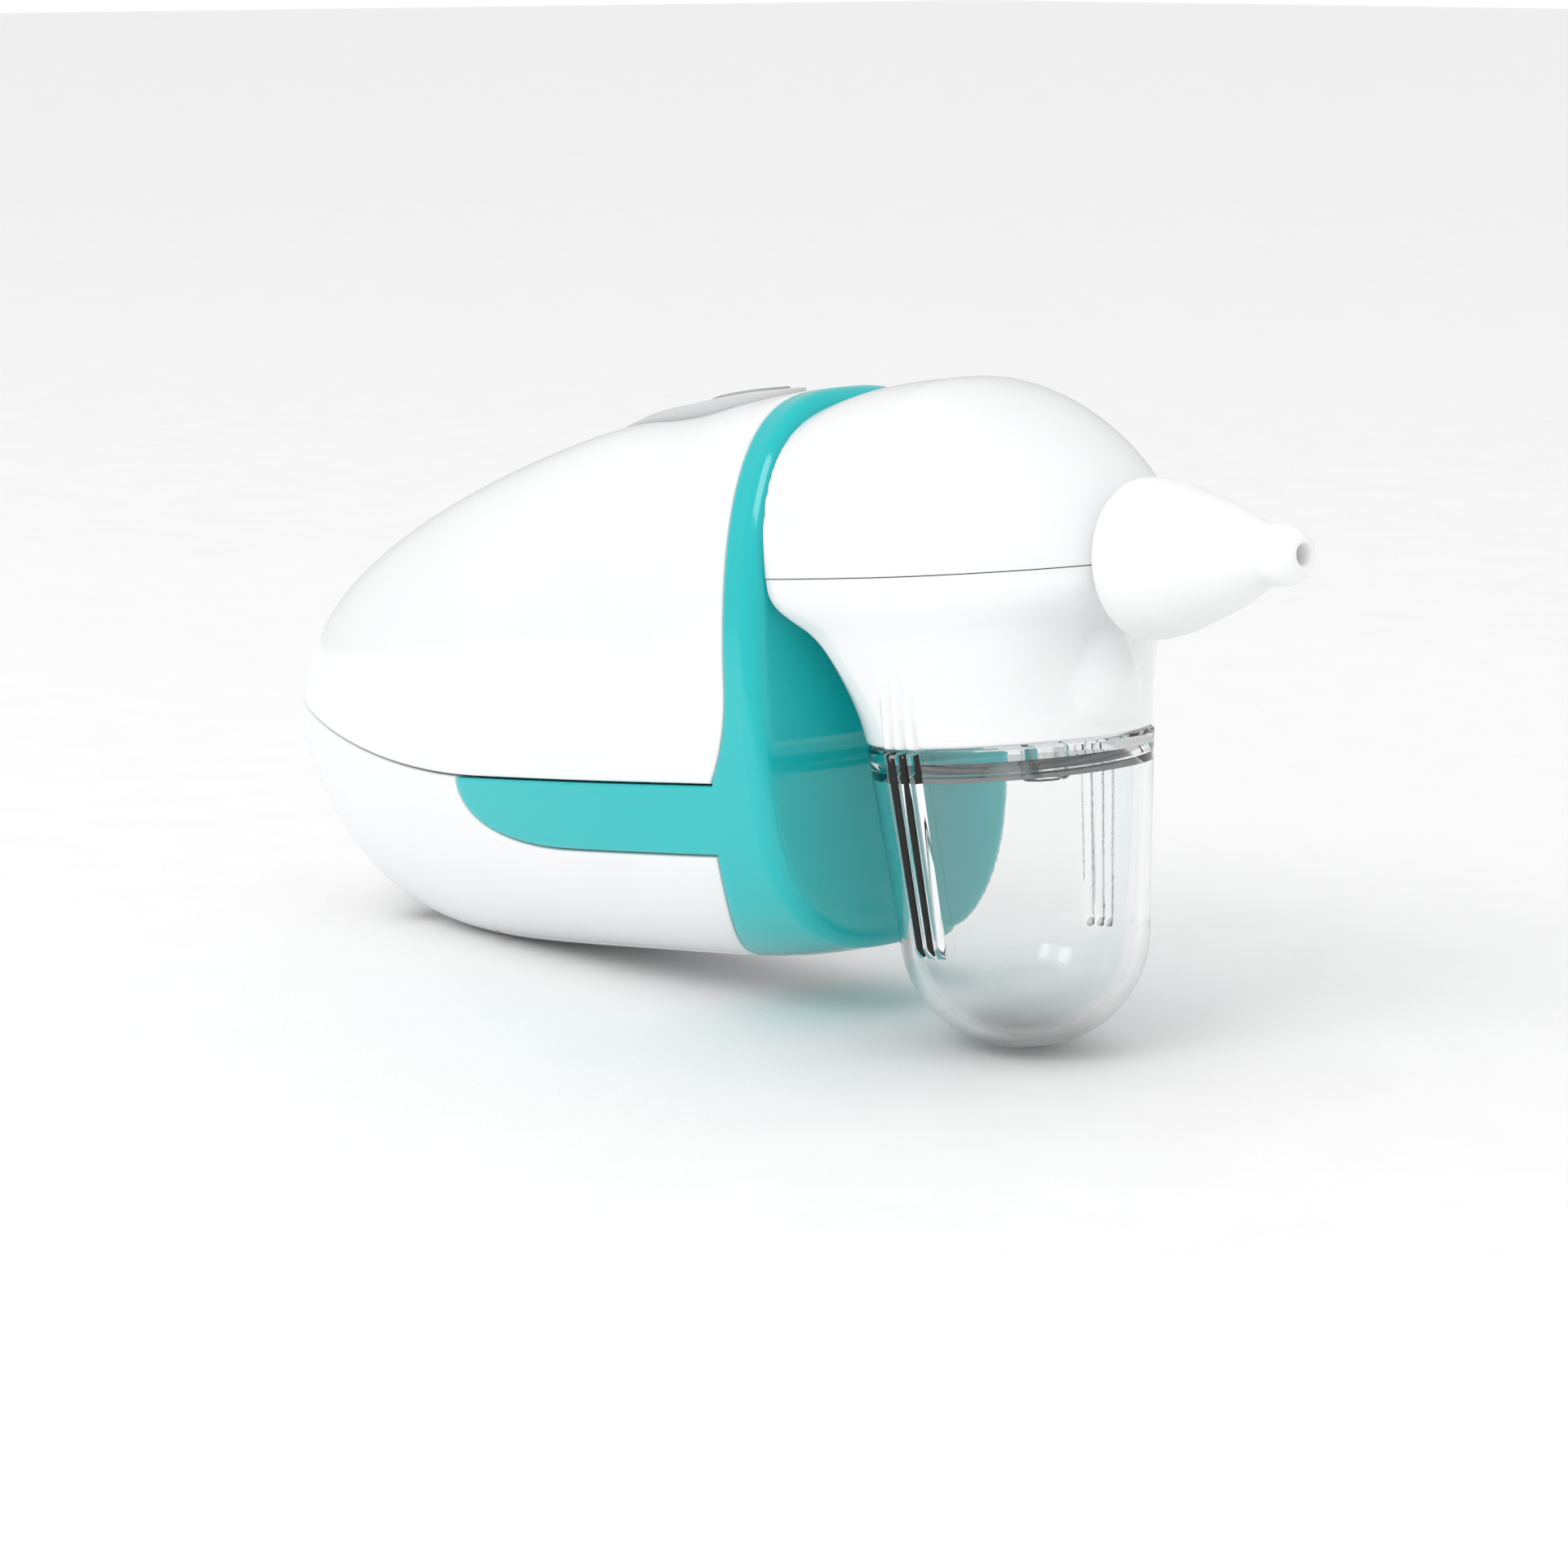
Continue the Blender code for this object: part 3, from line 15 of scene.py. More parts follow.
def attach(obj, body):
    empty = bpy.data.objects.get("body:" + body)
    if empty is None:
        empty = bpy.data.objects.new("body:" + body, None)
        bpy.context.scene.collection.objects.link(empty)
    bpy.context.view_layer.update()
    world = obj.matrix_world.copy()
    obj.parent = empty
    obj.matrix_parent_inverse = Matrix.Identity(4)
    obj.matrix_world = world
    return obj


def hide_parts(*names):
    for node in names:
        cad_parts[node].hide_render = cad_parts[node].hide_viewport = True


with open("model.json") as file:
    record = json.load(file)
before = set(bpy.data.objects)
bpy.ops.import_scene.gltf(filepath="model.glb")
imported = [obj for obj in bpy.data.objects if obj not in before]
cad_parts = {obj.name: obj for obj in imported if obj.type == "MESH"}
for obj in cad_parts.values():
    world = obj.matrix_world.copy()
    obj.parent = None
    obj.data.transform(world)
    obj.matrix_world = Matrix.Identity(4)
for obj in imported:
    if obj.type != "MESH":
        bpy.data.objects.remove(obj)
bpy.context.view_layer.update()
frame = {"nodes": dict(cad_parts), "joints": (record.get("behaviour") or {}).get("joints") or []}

MM = 0.001
GAP = 0.3 * MM
WALL = 1.6 * MM
QUARTER = math.pi / 2
EDGE = 0.28 * MM  # rounding of a moulded edge

# Pod
TAIL_X = -129.4 * MM
TAIL_Z = 2.4 * MM
TOP_Z = 40.8 * MM
KEEL_Z = -27.1 * MM
BELLY_Z = -26.2 * MM
POD_HALF_WIDTH = 20.7 * MM
SHOULDER_X = -34.7 * MM
SADDLE_X = -42.5 * MM  # middle of the dip that the button strip bridges
SADDLE_DEPTH = 1.5 * MM
SADDLE_SPREAD = 8 * MM
KEEL_X = -60.8 * MM
WIDEST_X = -43.4 * MM
SOFT_START = 0.05
FRONT_X = -20.3 * MM
FRONT_FILLET = 2.4 * MM
CHIN_START_X = -39 * MM
CHIN_RISE = 2.2 * MM
MIDDLE = 0.382  # height of the widest line, as a share of the section
SPINE_POWER = 2.2  # roundness of the section above and below its widest line
KEEL_POWER = 2.6
KEEL_SIDE_POWER = 2.68
BAND_REAR_X = -25.5 * MM
BAND_SWEEP = 3.6 * MM
BAND_SWEEP_HEIGHT = 12 * MM
SEAM_Z = -4 * MM
SEAM_RISE_X = -75 * MM
SEAM_RISE = 10 * MM
BELT_LOW_Z = -12.4 * MM
BELT_END_X = -79.6 * MM
BELT_ROUND_X = -57 * MM
CHIN_EDGE_X = -30 * MM
CHIN_DEPTH = 16 * MM
CHIN_LEAN = 2.2 * MM
CHIN_SWEEP = 7.6 * MM
REAR_SCREW_X = -104 * MM
REAR_SCREW_Y = 6 * MM

# Head
HEAD_REAR_X = FRONT_X + GAP
SEAT_X = 22.8 * MM
PARTING_Z = 19.6 * MM
PARTING_GAP = 0.1 * MM
PARTING_EDGE = 0.14 * MM
HEAD_CENTRE_X = -3.5 * MM
HEAD_FRONT = 28 * MM
HEAD_REAR = 34.5 * MM
HEAD_HALF_WIDTH = 19 * MM
DOME_HEIGHT = 21.35 * MM
DOME_FRONT_POWER = 1.58
DOME_REAR_POWER = 2.2
DOME_SIDE_POWER = 2.5
CROWN_SOFTNESS = 0.12  # share of the dome's length that is rounded over at its crown
COLLAR_RADIUS = 16.4 * MM
COLLAR_FOOT_EDGE = 0.4 * MM
COLLAR_RIB_WALL = 16.35 * MM  # radius that the neck's grip ribs stand on
COLLAR_RIB_TOP = 12.2 * MM
COLLAR_RIB_FADE = 2.5 * MM
NOZZLE_HOLE_RADIUS = 4.3 * MM
# How far the funnel has spread from collar to head plan, by height in mm
FUNNEL = (
    (0, 0),
    (3.1, 0.085),
    (6.5, 0.222),
    (11.3, 0.46),
    (13.2, 0.6),
    (14.6, 0.76),
    (16, 0.9),
    (17.6, 0.98),
    (19.6, 1),
)
# The duct under the tip: height, reach forward and half width, in mm
DUCT = (
    (0.6, 16.2, 8.5),
    (3, 17.6, 8),
    (5.9, 18.5, 7),
    (7.1, 18.6, 6.5),
    (9.6, 18.4, 5.2),
    (11.5, 18.4, 4),
    (12.7, 18.4, 3.4),
    (15, 18.6, 3.2),
    (19.6, 19.5, 3.2),
)
DUCT_LENGTH = 1.2  # semi-axis along X, as a share of the half width

# Joint of head and cup
SOCKET_RADIUS = 14.7 * MM
FLOOR_LOW = 6 * MM
FLOOR_TOP = 7.8 * MM
NECK_RADIUS = 14.2 * MM
NECK_BORE = 12.9 * MM
NECK_TOP = 5.2 * MM
GROOVE_RADIUS = 13.4 * MM
GROOVE_LOW = 2.2 * MM
GROOVE_TOP = 3.8 * MM
INLET_X = 5.2 * MM
INLET_RADIUS = 2.7 * MM
VALVE_X = -7 * MM
VALVE_HOLE_RADIUS = 1.4 * MM

# Cup
CUP_RIM_RADIUS = 16.5 * MM
CUP_WAIST_RADIUS = 14.4 * MM
CUP_WAIST_Z = -22.6 * MM
CUP_BOTTOM_DEPTH = 13.8 * MM
CUP_FOOT_RADIUS = 4.2 * MM
CUP_WALL = 1.5 * MM
RIB_RADIUS = 0.8 * MM
RIB_ANGLE = math.radians(93.6)
RIB_STEP = math.radians(6.8)

# Buttons and battery door
STRIP_REAR_X = -63 * MM
STRIP_FRONT_X = -31.5 * MM
STRIP_HALF_WIDTH = 5.4 * MM
STRIP_LIFT = 0.15 * MM
STRIP_THICK = 2.4 * MM
BUTTON_LIFT = 0.25 * MM
BUTTON_HALF_WIDTH = 3.5 * MM
POWER_SPAN = (-46.2 * MM, -34.2 * MM)
LEVEL_SPAN = (-59.6 * MM, -48.6 * MM)
DOOR_REAR_X = -85.4 * MM
DOOR_FRONT_X = -38.2 * MM
DOOR_HALF_WIDTH = 9.4 * MM
DOOR_GAP = 0.35 * MM

# Pump
SHAFT_X = -66 * MM
PUMP_Z = 9 * MM

# Camera
CAMERA_TARGET = (0.0039367, 0, 0.02495)
CAMERA_AZIMUTH = math.radians(47.522)
CAMERA_ELEVATION = math.radians(10.419)
CAMERA_DISTANCE = 0.55885
CAMERA_LENS = 106.2

# Studio
ROOM_STRENGTH = 1.0
MIRRORED_ROOM_STRENGTH = 0.6  # what glossy surfaces see of the room
KEY_POWER = 3.5


def design_place():
    """From the design frame to the row frame, by the axes of the tip, the cup and the motor's shaft."""
    joints = {joint["name"]: joint for joint in frame["joints"]}
    along = Vector(joints["tip_pull"]["axis"]).normalized()
    up = -Vector(joints["cup_pull"]["axis"]).normalized()
    origin = Vector(joints["shaft_spin"]["pos_m"]) - along * SHAFT_X - up * PUMP_Z
    turn = Matrix((along, up.cross(along), up)).transposed()
    return Matrix.Translation(origin) @ turn.to_4x4()


PLACE = design_place()
REST_PITCH = math.atan2(PLACE[2][0], PLACE[0][0])


# ---------------------------------------------------------------- mesh tools


def sheet(bm, rows, closed=False):
    """Quads through rows of points."""
    lines = [[bm.verts.new(point) for point in row] for row in rows]
    for near, far in zip(lines, lines[1:]):
        for i in range(0 if closed else 1, len(near)):
            bm.faces.new((near[i - 1], near[i], far[i], far[i - 1]))
    return lines


def weld(bm):
    bmesh.ops.remove_doubles(bm, verts=bm.verts, dist=0.000002)


def face_out(bm, facing=None):
    """Turns an open sheet's faces the given way, or away from its middle."""
    bm.normal_update()
    middle = sum((v.co for v in bm.verts), Vector()) / len(bm.verts)
    lean = 0.0
    for face in bm.faces:
        lean += face.normal.dot(facing or face.calc_center_median() - middle) * face.calc_area()
    if lean < 0:
        bmesh.ops.reverse_faces(bm, faces=bm.faces)
    bm.normal_update()


def thicken(bm, wall, edge=EDGE, steps=3, facing=None):
    """Gives an open sheet its wall, and rounds and widens its edge by the edge radius."""
    weld(bm)
    face_out(bm, facing)
    faces = list(bm.faces)
    verts = list(bm.verts)
    rims = [(e.link_loops[0].vert, e.link_loops[0].link_loop_next.vert) for e in bm.edges if e.is_boundary]
    outward = {}
    for a, b in rims:
        normal = (a.normal + b.normal).normalized()
        side = (b.co - a.co).cross(normal).normalized()
        for v in (a, b):
            outward.setdefault(v, []).append(side)
    for v, sides in outward.items():
        lean = sum(sides, Vector())
        outward[v] = lean * (2 / max(lean.length_squared, 1.2))
    inner = {}
    for v in verts:
        spot = v.co - v.normal * wall
        if v in outward:
            spot += outward[v] * edge
        inner[v] = bm.verts.new(spot)
    last = {v: v for v in outward}
    for k in range(1, steps + 2):
        if k <= steps:
            turn = QUARTER * k / steps
            ring = {}
            for v, side in outward.items():
                drop = v.normal * (edge * (1 - math.cos(turn)))
                ring[v] = bm.verts.new(v.co + side * (edge * math.sin(turn)) - drop)
        else:
            ring = {v: inner[v] for v in outward}
        for a, b in rims:
            bm.faces.new((last[b], last[a], ring[a], ring[b]))
        last = ring
    for face in faces:
        bm.faces.new([inner[v] for v in reversed(face.verts)])
    return bm


def piece(name, bm, body, material, replaces=(), sharp=35):
    """Makes a finished object of a mesh in the design frame, gives it its material and hangs it on its
    body.
    """
    weld(bm)
    bmesh.ops.recalc_face_normals(bm, faces=bm.faces)
    mesh = bpy.data.meshes.new(name)
    bm.to_mesh(mesh)
    bm.free()
    mesh.transform(PLACE)
    mesh.shade_smooth()
    mesh.set_sharp_from_angle(angle=math.radians(sharp))
    mesh.materials.append(material)
    obj = bpy.data.objects.new(name, mesh)
    bpy.context.scene.collection.objects.link(obj)
    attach(obj, body)
    if replaces:
        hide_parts(*replaces)
    return obj


def cut(obj, bm):
    """Cuts a closed mesh in the design frame out of a piece."""
    bmesh.ops.recalc_face_normals(bm, faces=bm.faces)
    mesh = bpy.data.meshes.new("cutter")
    bm.to_mesh(mesh)
    bm.free()
    mesh.transform(PLACE)
    tool = bpy.data.objects.new("cutter", mesh)
    bpy.context.scene.collection.objects.link(tool)
    modifier = obj.modifiers.new("cut", "BOOLEAN")
    modifier.object = tool
    modifier.operation = "DIFFERENCE"
    modifier.solver = "EXACT"
    bpy.context.view_layer.update()
    graph = bpy.context.evaluated_depsgraph_get()
    result = bpy.data.meshes.new_from_object(obj.evaluated_get(graph))
    obj.modifiers.clear()
    obj.data = result
    result.shade_smooth()
    result.set_sharp_from_angle(angle=math.radians(35))
    bpy.data.objects.remove(tool)
    return obj


def lathe(rows, count=96, centre=(0, 0, 0), along_x=False, closed=False):
    """A profile of (radius, height) points turned about +Z, or +X."""
    bm = bmesh.new()
    rings = []
    for radius, height in rows:
        ring = []
        for k in range(count):
            angle = 2 * math.pi * k / count
            side, up = radius * math.cos(angle), radius * math.sin(angle)
            point = Vector((height, side, up)) if along_x else Vector((side, up, height))
            ring.append(point + Vector(centre))
        rings.append(ring)
    if closed:
        rings.append(rings[0])
    sheet(bm, rings, closed=True)
    return bm


def arc(centre, radius, start, end, count=5):
    """Points (radius, height) of a rounded corner, by angles in degrees."""
    points = []
    for k in range(count):
        turn = math.radians(start + (end - start) * k / (count - 1))
        points.append((centre[0] + radius * math.cos(turn), centre[1] + radius * math.sin(turn)))
    return points


def smooth_table(table, place):
    """Reads a table of rows by its first column, along a smooth curve."""
    i = 0
    while i < len(table) - 2 and table[i + 1][0] < place:
        i += 1
    b, c = table[i], table[i + 1]
    a = table[i - 1] if i else b
    d = table[i + 2] if i + 2 < len(table) else c
    t = min(max((place - b[0]) / (c[0] - b[0]), 0), 1)
    values = []
    for k in range(1, len(b)):
        low_slope = (c[k] - a[k]) / (c[0] - a[0])
        high_slope = (d[k] - b[k]) / (d[0] - b[0])
        span = c[0] - b[0]
        even = b[k] * (1 + 2 * t) * (1 - t) ** 2 + c[k] * t * t * (3 - 2 * t)
        values.append(even + span * (low_slope * t * (1 - t) ** 2 + high_slope * t * t * (t - 1)))
    return values


# ---------------------------------------------------------------- pod surface


def share(x, start):
    return min(max((start - x) / (start - TAIL_X), 0), 1)


def soft_share(x, start, power):
    """The same to a power, with a soft start so that no line shows where the shape begins to turn."""
    along = share(x, start)
    low = SOFT_START**power
    high = (1 + SOFT_START**2) ** (power / 2)
    return ((along**2 + SOFT_START**2) ** (power / 2) - low) / (high - low)


def spine_z(x):
    """Height of the pod's top line before its dip under the button strip."""
    return TAIL_Z + (TOP_Z - TAIL_Z) * max(1 - soft_share(x, SHOULDER_X, 1.3), 0) ** 0.46


def pod_top(x):
    away = (x - SADDLE_X) / SADDLE_SPREAD
    return spine_z(x) - SADDLE_DEPTH * math.exp(-away * away / 2)


def pod_keel(x):
    low = TAIL_Z - (TAIL_Z - KEEL_Z) * (1 - share(x, KEEL_X) ** 4.18) ** 0.965
    forward = max(x - CHIN_START_X, 0) / (FRONT_X - CHIN_START_X)
    return low + CHIN_RISE * forward**1.6


def pod_half_width(x):
    return POD_HALF_WIDTH * max(1 - soft_share(x, WIDEST_X, 1.63), 0) ** 0.383


def upper_power(x):
    return 2 / (3 - 0.44 * share(x, SHOULDER_X))


def table_z(x):
    """Height of the table's plane in the design frame."""
    corner = PLACE.inverted() @ Vector((0, 0, 0))
    return corner.z - math.tan(REST_PITCH) * (x - corner.x)


def section(x, angle, inset=0.0):
    """A point of the pod's left side, from the keel at -90 degrees to the spine at 90."""
    c, s = max(math.cos(angle), 0), math.sin(angle)
    top, keel = pod_top(x), pod_keel(x)
    middle = keel + MIDDLE * (top - keel)
    half = max(pod_half_width(x) - inset, 0)
    if s >= 0:
        y = half * c ** upper_power(x)
        z = middle + max(top - inset - middle, 0) * s ** (2 / SPINE_POWER)
    else:
        y = half * c ** (2 / KEEL_SIDE_POWER)
        z = middle - max(middle - keel - inset, 0) * (-s) ** (2 / KEEL_POWER)
        z = max(z, BELLY_Z, table_z(x))
    return Vector((x, y, z))


def angle_at(x, z, inset=0.0):
    """The section's angle at height z."""
    top, keel = pod_top(x), pod_keel(x)
    middle = keel + MIDDLE * (top - keel)
    if z >= middle:
        rise = (z - middle) / max(top - inset - middle, 1e-9)
        return math.asin(min(rise, 1) ** (SPINE_POWER / 2))
    drop = (middle - z) / max(middle - keel - inset, 1e-9)
    return -math.asin(min(drop, 1) ** (KEEL_POWER / 2))


def even_shares(x, low, high, count, samples=160):
    """Shares of the way from one angle to another that give even steps along the section."""
    lengths = [0.0]
    last = section(x, low)
    for k in range(1, samples + 1):
        point = section(x, low + (high - low) * k / samples)
        lengths.append(lengths[-1] + (point - last).length)
        last = point
    shares = []
    k = 0
    for i in range(count):
        goal = lengths[-1] * i / (count - 1)
        while k < samples - 1 and lengths[k + 1] < goal:
            k += 1
        step = lengths[k + 1] - lengths[k]
        part = (goal - lengths[k]) / step if step > 0 else 0
        shares.append((k + part) / samples)
    shares[-1] = 1.0
    return shares


def across(x_at, low_at, high_at, count):
    """A line over the left side. x_at(z) gives its place, low_at(x) and high_at(x) its end angles."""
    x = x_at(0.0)
    points = []
    z = 0.0
    for part in even_shares(x, low_at(x), high_at(x), count):
        for _ in range(5):
            x = x_at(z)
            low, high = low_at(x), high_at(x)
            point = section(x, low + (high - low) * part)
            z = point.z
        points.append(point)
    return points


def mirrored(points):
    return [Vector((p.x, -p.y, p.z)) for p in points]


def spine_line(points):
    """A whole row, from the left edge over the spine to the right edge."""
    return points + mirrored(points)[-2::-1]


def slow_start(low, high, count):
    return [low + (high - low) * (1 - math.cos(QUARTER * k / count)) for k in range(count + 1)]


def even(low, high, count):
    return [low + (high - low) * k / count for k in range(count + 1)]


# ---------------------------------------------------------------- pod seams


def seam_z(x):
    back = max(SEAM_RISE_X - x, 0) / (SEAM_RISE_X - TAIL_X)
    return SEAM_Z + SEAM_RISE * back**2


def band_rear(z, offset):
    """The band's rear edge, which sweeps back into the belt."""
    drop = min(max(1 - (z - SEAM_Z) / BAND_SWEEP_HEIGHT, 0), 1)
    return BAND_REAR_X + offset - BAND_SWEEP * drop**2.2


def belt_end(turn, offset):
    """A point of the belt's rounded end and lower edge."""
    x = BELT_ROUND_X - (BELT_ROUND_X - BELT_END_X + offset) * math.cos(turn) ** 0.9
    z = SEAM_Z - (SEAM_Z - BELT_LOW_Z + offset) * max(math.sin(turn), 0) ** 0.9
    return x, z


def belt_low(x, offset):
    """Height of the belt's lower edge at x."""
    if x >= BELT_ROUND_X:
        return BELT_LOW_Z - offset
    reach = (BELT_ROUND_X - x) / (BELT_ROUND_X - BELT_END_X + offset)
    turn = math.acos(min(reach, 1) ** (1 / 0.9))
    return belt_end(turn, offset)[1]


def chin_rear(z, offset):
    """The rear edge of the front piece under the belt."""
    drop = min(max((BELT_LOW_Z - z) / CHIN_DEPTH, 0), 1)
    return CHIN_EDGE_X - offset - CHIN_LEAN * drop - CHIN_SWEEP * drop**2.6


# ---------------------------------------------------------------- materials


def moulded(name, colour, roughness, grain=0.012, coat=0.0, subsurface=0.0, shade=0.02):
    """Moulded plastic: faint flow marks in the colour, uneven gloss and a fine surface grain."""
    material = bpy.data.materials.new(name)
    material.use_nodes = True
    nodes, links = material.node_tree.nodes, material.node_tree.links
    shader = nodes["Principled BSDF"]
    shader.inputs["Coat Weight"].default_value = coat
    shader.inputs["Coat Roughness"].default_value = 0.03
    shader.inputs["Subsurface Weight"].default_value = subsurface
    shader.inputs["Subsurface Radius"].default_value = (0.0022, 0.002, 0.0018)
    shader.inputs["Subsurface Scale"].default_value = 1.0
    place = nodes.new("ShaderNodeTexCoord")

    def noise(scale, detail=3.0):
        node = nodes.new("ShaderNodeTexNoise")
        node.inputs["Scale"].default_value = scale
        node.inputs["Detail"].default_value = detail
        links.new(place.outputs["Object"], node.inputs["Vector"])
        return node.outputs["Fac"]

    def spread(value, low, high):
        node = nodes.new("ShaderNodeMapRange")
        node.inputs["From Min"].default_value = 0.3
        node.inputs["From Max"].default_value = 0.7
        node.inputs["To Min"].default_value = low
        node.inputs["To Max"].default_value = high
        links.new(value, node.inputs["Value"])
        return node.outputs["Result"]

    tint = nodes.new("ShaderNodeMix")
    tint.data_type = "RGBA"
    tint.inputs["A"].default_value = (*[c * (1 - shade) for c in colour], 1)
    tint.inputs["B"].default_value = (*[min(c * (1 + shade), 1) for c in colour], 1)
    links.new(spread(noise(28), 0, 1), tint.inputs["Factor"])
    links.new(tint.outputs["Result"], shader.inputs["Base Color"])
    links.new(spread(noise(90), roughness * 0.85, roughness * 1.2), shader.inputs["Roughness"])
    bump = nodes.new("ShaderNodeBump")
    bump.inputs["Strength"].default_value = 1.0
    bump.inputs["Distance"].default_value = grain * MM
    links.new(noise(1800, 2.0), bump.inputs["Height"])
    links.new(bump.outputs["Normal"], shader.inputs["Normal"])
    return material


def metal(name, colour, roughness, stretch=(1, 1, 1)):
    """Drawn or turned metal, with tooling marks stretched along one way."""
    material = moulded(name, colour, roughness, grain=0.004, shade=0.06)
    shader = material.node_tree.nodes["Principled BSDF"]
    shader.inputs["Metallic"].default_value = 1.0
    nodes, links = material.node_tree.nodes, material.node_tree.links
    mapping = nodes.new("ShaderNodeMapping")
    mapping.inputs["Scale"].default_value = stretch
    place = next(n for n in nodes if n.type == "TEX_COORD")
    links.new(place.outputs["Object"], mapping.inputs["Vector"])
    for node in nodes:
        if node.type == "TEX_NOISE":
            links.new(mapping.outputs["Vector"], node.inputs["Vector"])
    return material


def clear_plastic(name, tint, roughness):
    material = moulded(name, tint, roughness, grain=0.002, shade=0.004)
    shader = material.node_tree.nodes["Principled BSDF"]
    shader.inputs["Transmission Weight"].default_value = 1.0
    shader.inputs["IOR"].default_value = 1.45
    return material


GLOSS_WHITE = moulded("gloss_white_shell", (0.86, 0.865, 0.87), 0.09, coat=0.4, subsurface=0.12)
SATIN_WHITE = moulded("satin_white_shell", (0.85, 0.855, 0.865), 0.22, grain=0.02, subsurface=0.12)
TEAL = moulded("teal_frame", (0.002, 0.49, 0.505), 0.12, coat=0.4, shade=0.03)
CLEAR = clear_plastic("clear_cup", (0.985, 0.99, 0.99), 0.02)
SILICONE = moulded("silicone", (0.88, 0.885, 0.885), 0.42, grain=0.03, subsurface=0.5)
GREY = moulded("grey_button", (0.38, 0.385, 0.39), 0.34)
LIGHT_GREY = moulded("light_grey_trim", (0.6, 0.605, 0.61), 0.32)
DARK = moulded("black_part", (0.02, 0.02, 0.022), 0.45, grain=0.02, shade=0.1)
STEEL = metal("steel", (0.6, 0.6, 0.61), 0.22)
MOTOR_CAN = metal("motor_can", (0.55, 0.55, 0.56), 0.3, stretch=(0.2, 3, 3))
BRASS = metal("brass", (0.78, 0.57, 0.26), 0.25)


# ---------------------------------------------------------------- pod pieces


def upper_shell():
    lift = GAP / 2 + EDGE
    front_gap = -GAP - EDGE
    low, high = TAIL_X, TAIL_X + 5 * MM
    for _ in range(40):
        middle = (low + high) / 2
        if pod_top(middle) < seam_z(middle) + lift:
            low = middle
        else:
            high = middle
    start = high
    rows = []
    for part in slow_start(0, 1, 84):
        rows.append(
            spine_line(
                across(
                    lambda z: start + (band_rear(z, front_gap) - start) * part,
                    lambda x: angle_at(x, seam_z(x) + lift),
                    lambda x: QUARTER,
                    44,
                )
            )
        )
    bm = bmesh.new()
    sheet(bm, rows)
    thicken(bm, WALL)
    shell = piece("upper_shell_skin", bm, "pod", GLOSS_WHITE, ["upper_shell"])
    return cut(shell, plan_prism(strip_outline(GAP, count=96), 30 * MM, 60 * MM))


def block(low, high):
    bm = bmesh.new()
    bmesh.ops.create_cube(bm, size=1)
    size = [b - a for a, b in zip(low, high)]
    middle = [(a + b) / 2 for a, b in zip(low, high)]
    bmesh.ops.transform(bm, matrix=Matrix.Translation(middle) @ Matrix.Diagonal((*size, 1)), verts=bm.verts)
    return bm


def lower_shell():
    drop = GAP / 2 + EDGE
    offset = GAP + EDGE

    def high_z(x):
        if x < BELT_END_X - offset:
            return seam_z(x) - drop
        return min(belt_low(x, offset), SEAM_Z - drop)

    places = [(lambda z, x=x: x) for x in slow_start(TAIL_X + 0.01 * MM, BELT_END_X - offset, 44)]
    places += [(lambda z, x=x: x) for x in slow_start(BELT_END_X - offset, BELT_ROUND_X, 30)[1:]]
    for part in even(0, 1, 22)[1:]:
        places.append(lambda z, part=part: BELT_ROUND_X + (chin_rear(z, offset) - BELT_ROUND_X) * part)
    rows = []
    for x_at in places:
        half = across(x_at, lambda x: -QUARTER, lambda x: angle_at(x, high_z(x)), 40)
        rows.append(half[::-1] + mirrored(half)[1:])
    bm = bmesh.new()
    sheet(bm, rows)
    thicken(bm, WALL)
    shell = piece("lower_shell_skin", bm, "pod", SATIN_WHITE, ["lower_shell"])
    low = (DOOR_REAR_X - DOOR_GAP, -DOOR_HALF_WIDTH - DOOR_GAP, -60 * MM)
    high = (DOOR_FRONT_X + DOOR_GAP, DOOR_HALF_WIDTH + DOOR_GAP, -18 * MM)
    cut(shell, block(low, high))
    for y in (REAR_SCREW_Y, -REAR_SCREW_Y):
        sink = [(0, -40 * MM), (2.6 * MM, -40 * MM), (2.6 * MM, -8 * MM), (0, -8 * MM)]
        cut(shell, lathe(sink, 40, (REAR_SCREW_X, y, 0)))
    return shell


def section_inset(base_x, x, angle, inset):
    """A point of the front fillet: the section at base_x, drawn in by inset and moved to x."""
    point = section(base_x, angle, inset)
    return Vector((x, point.y, point.z))


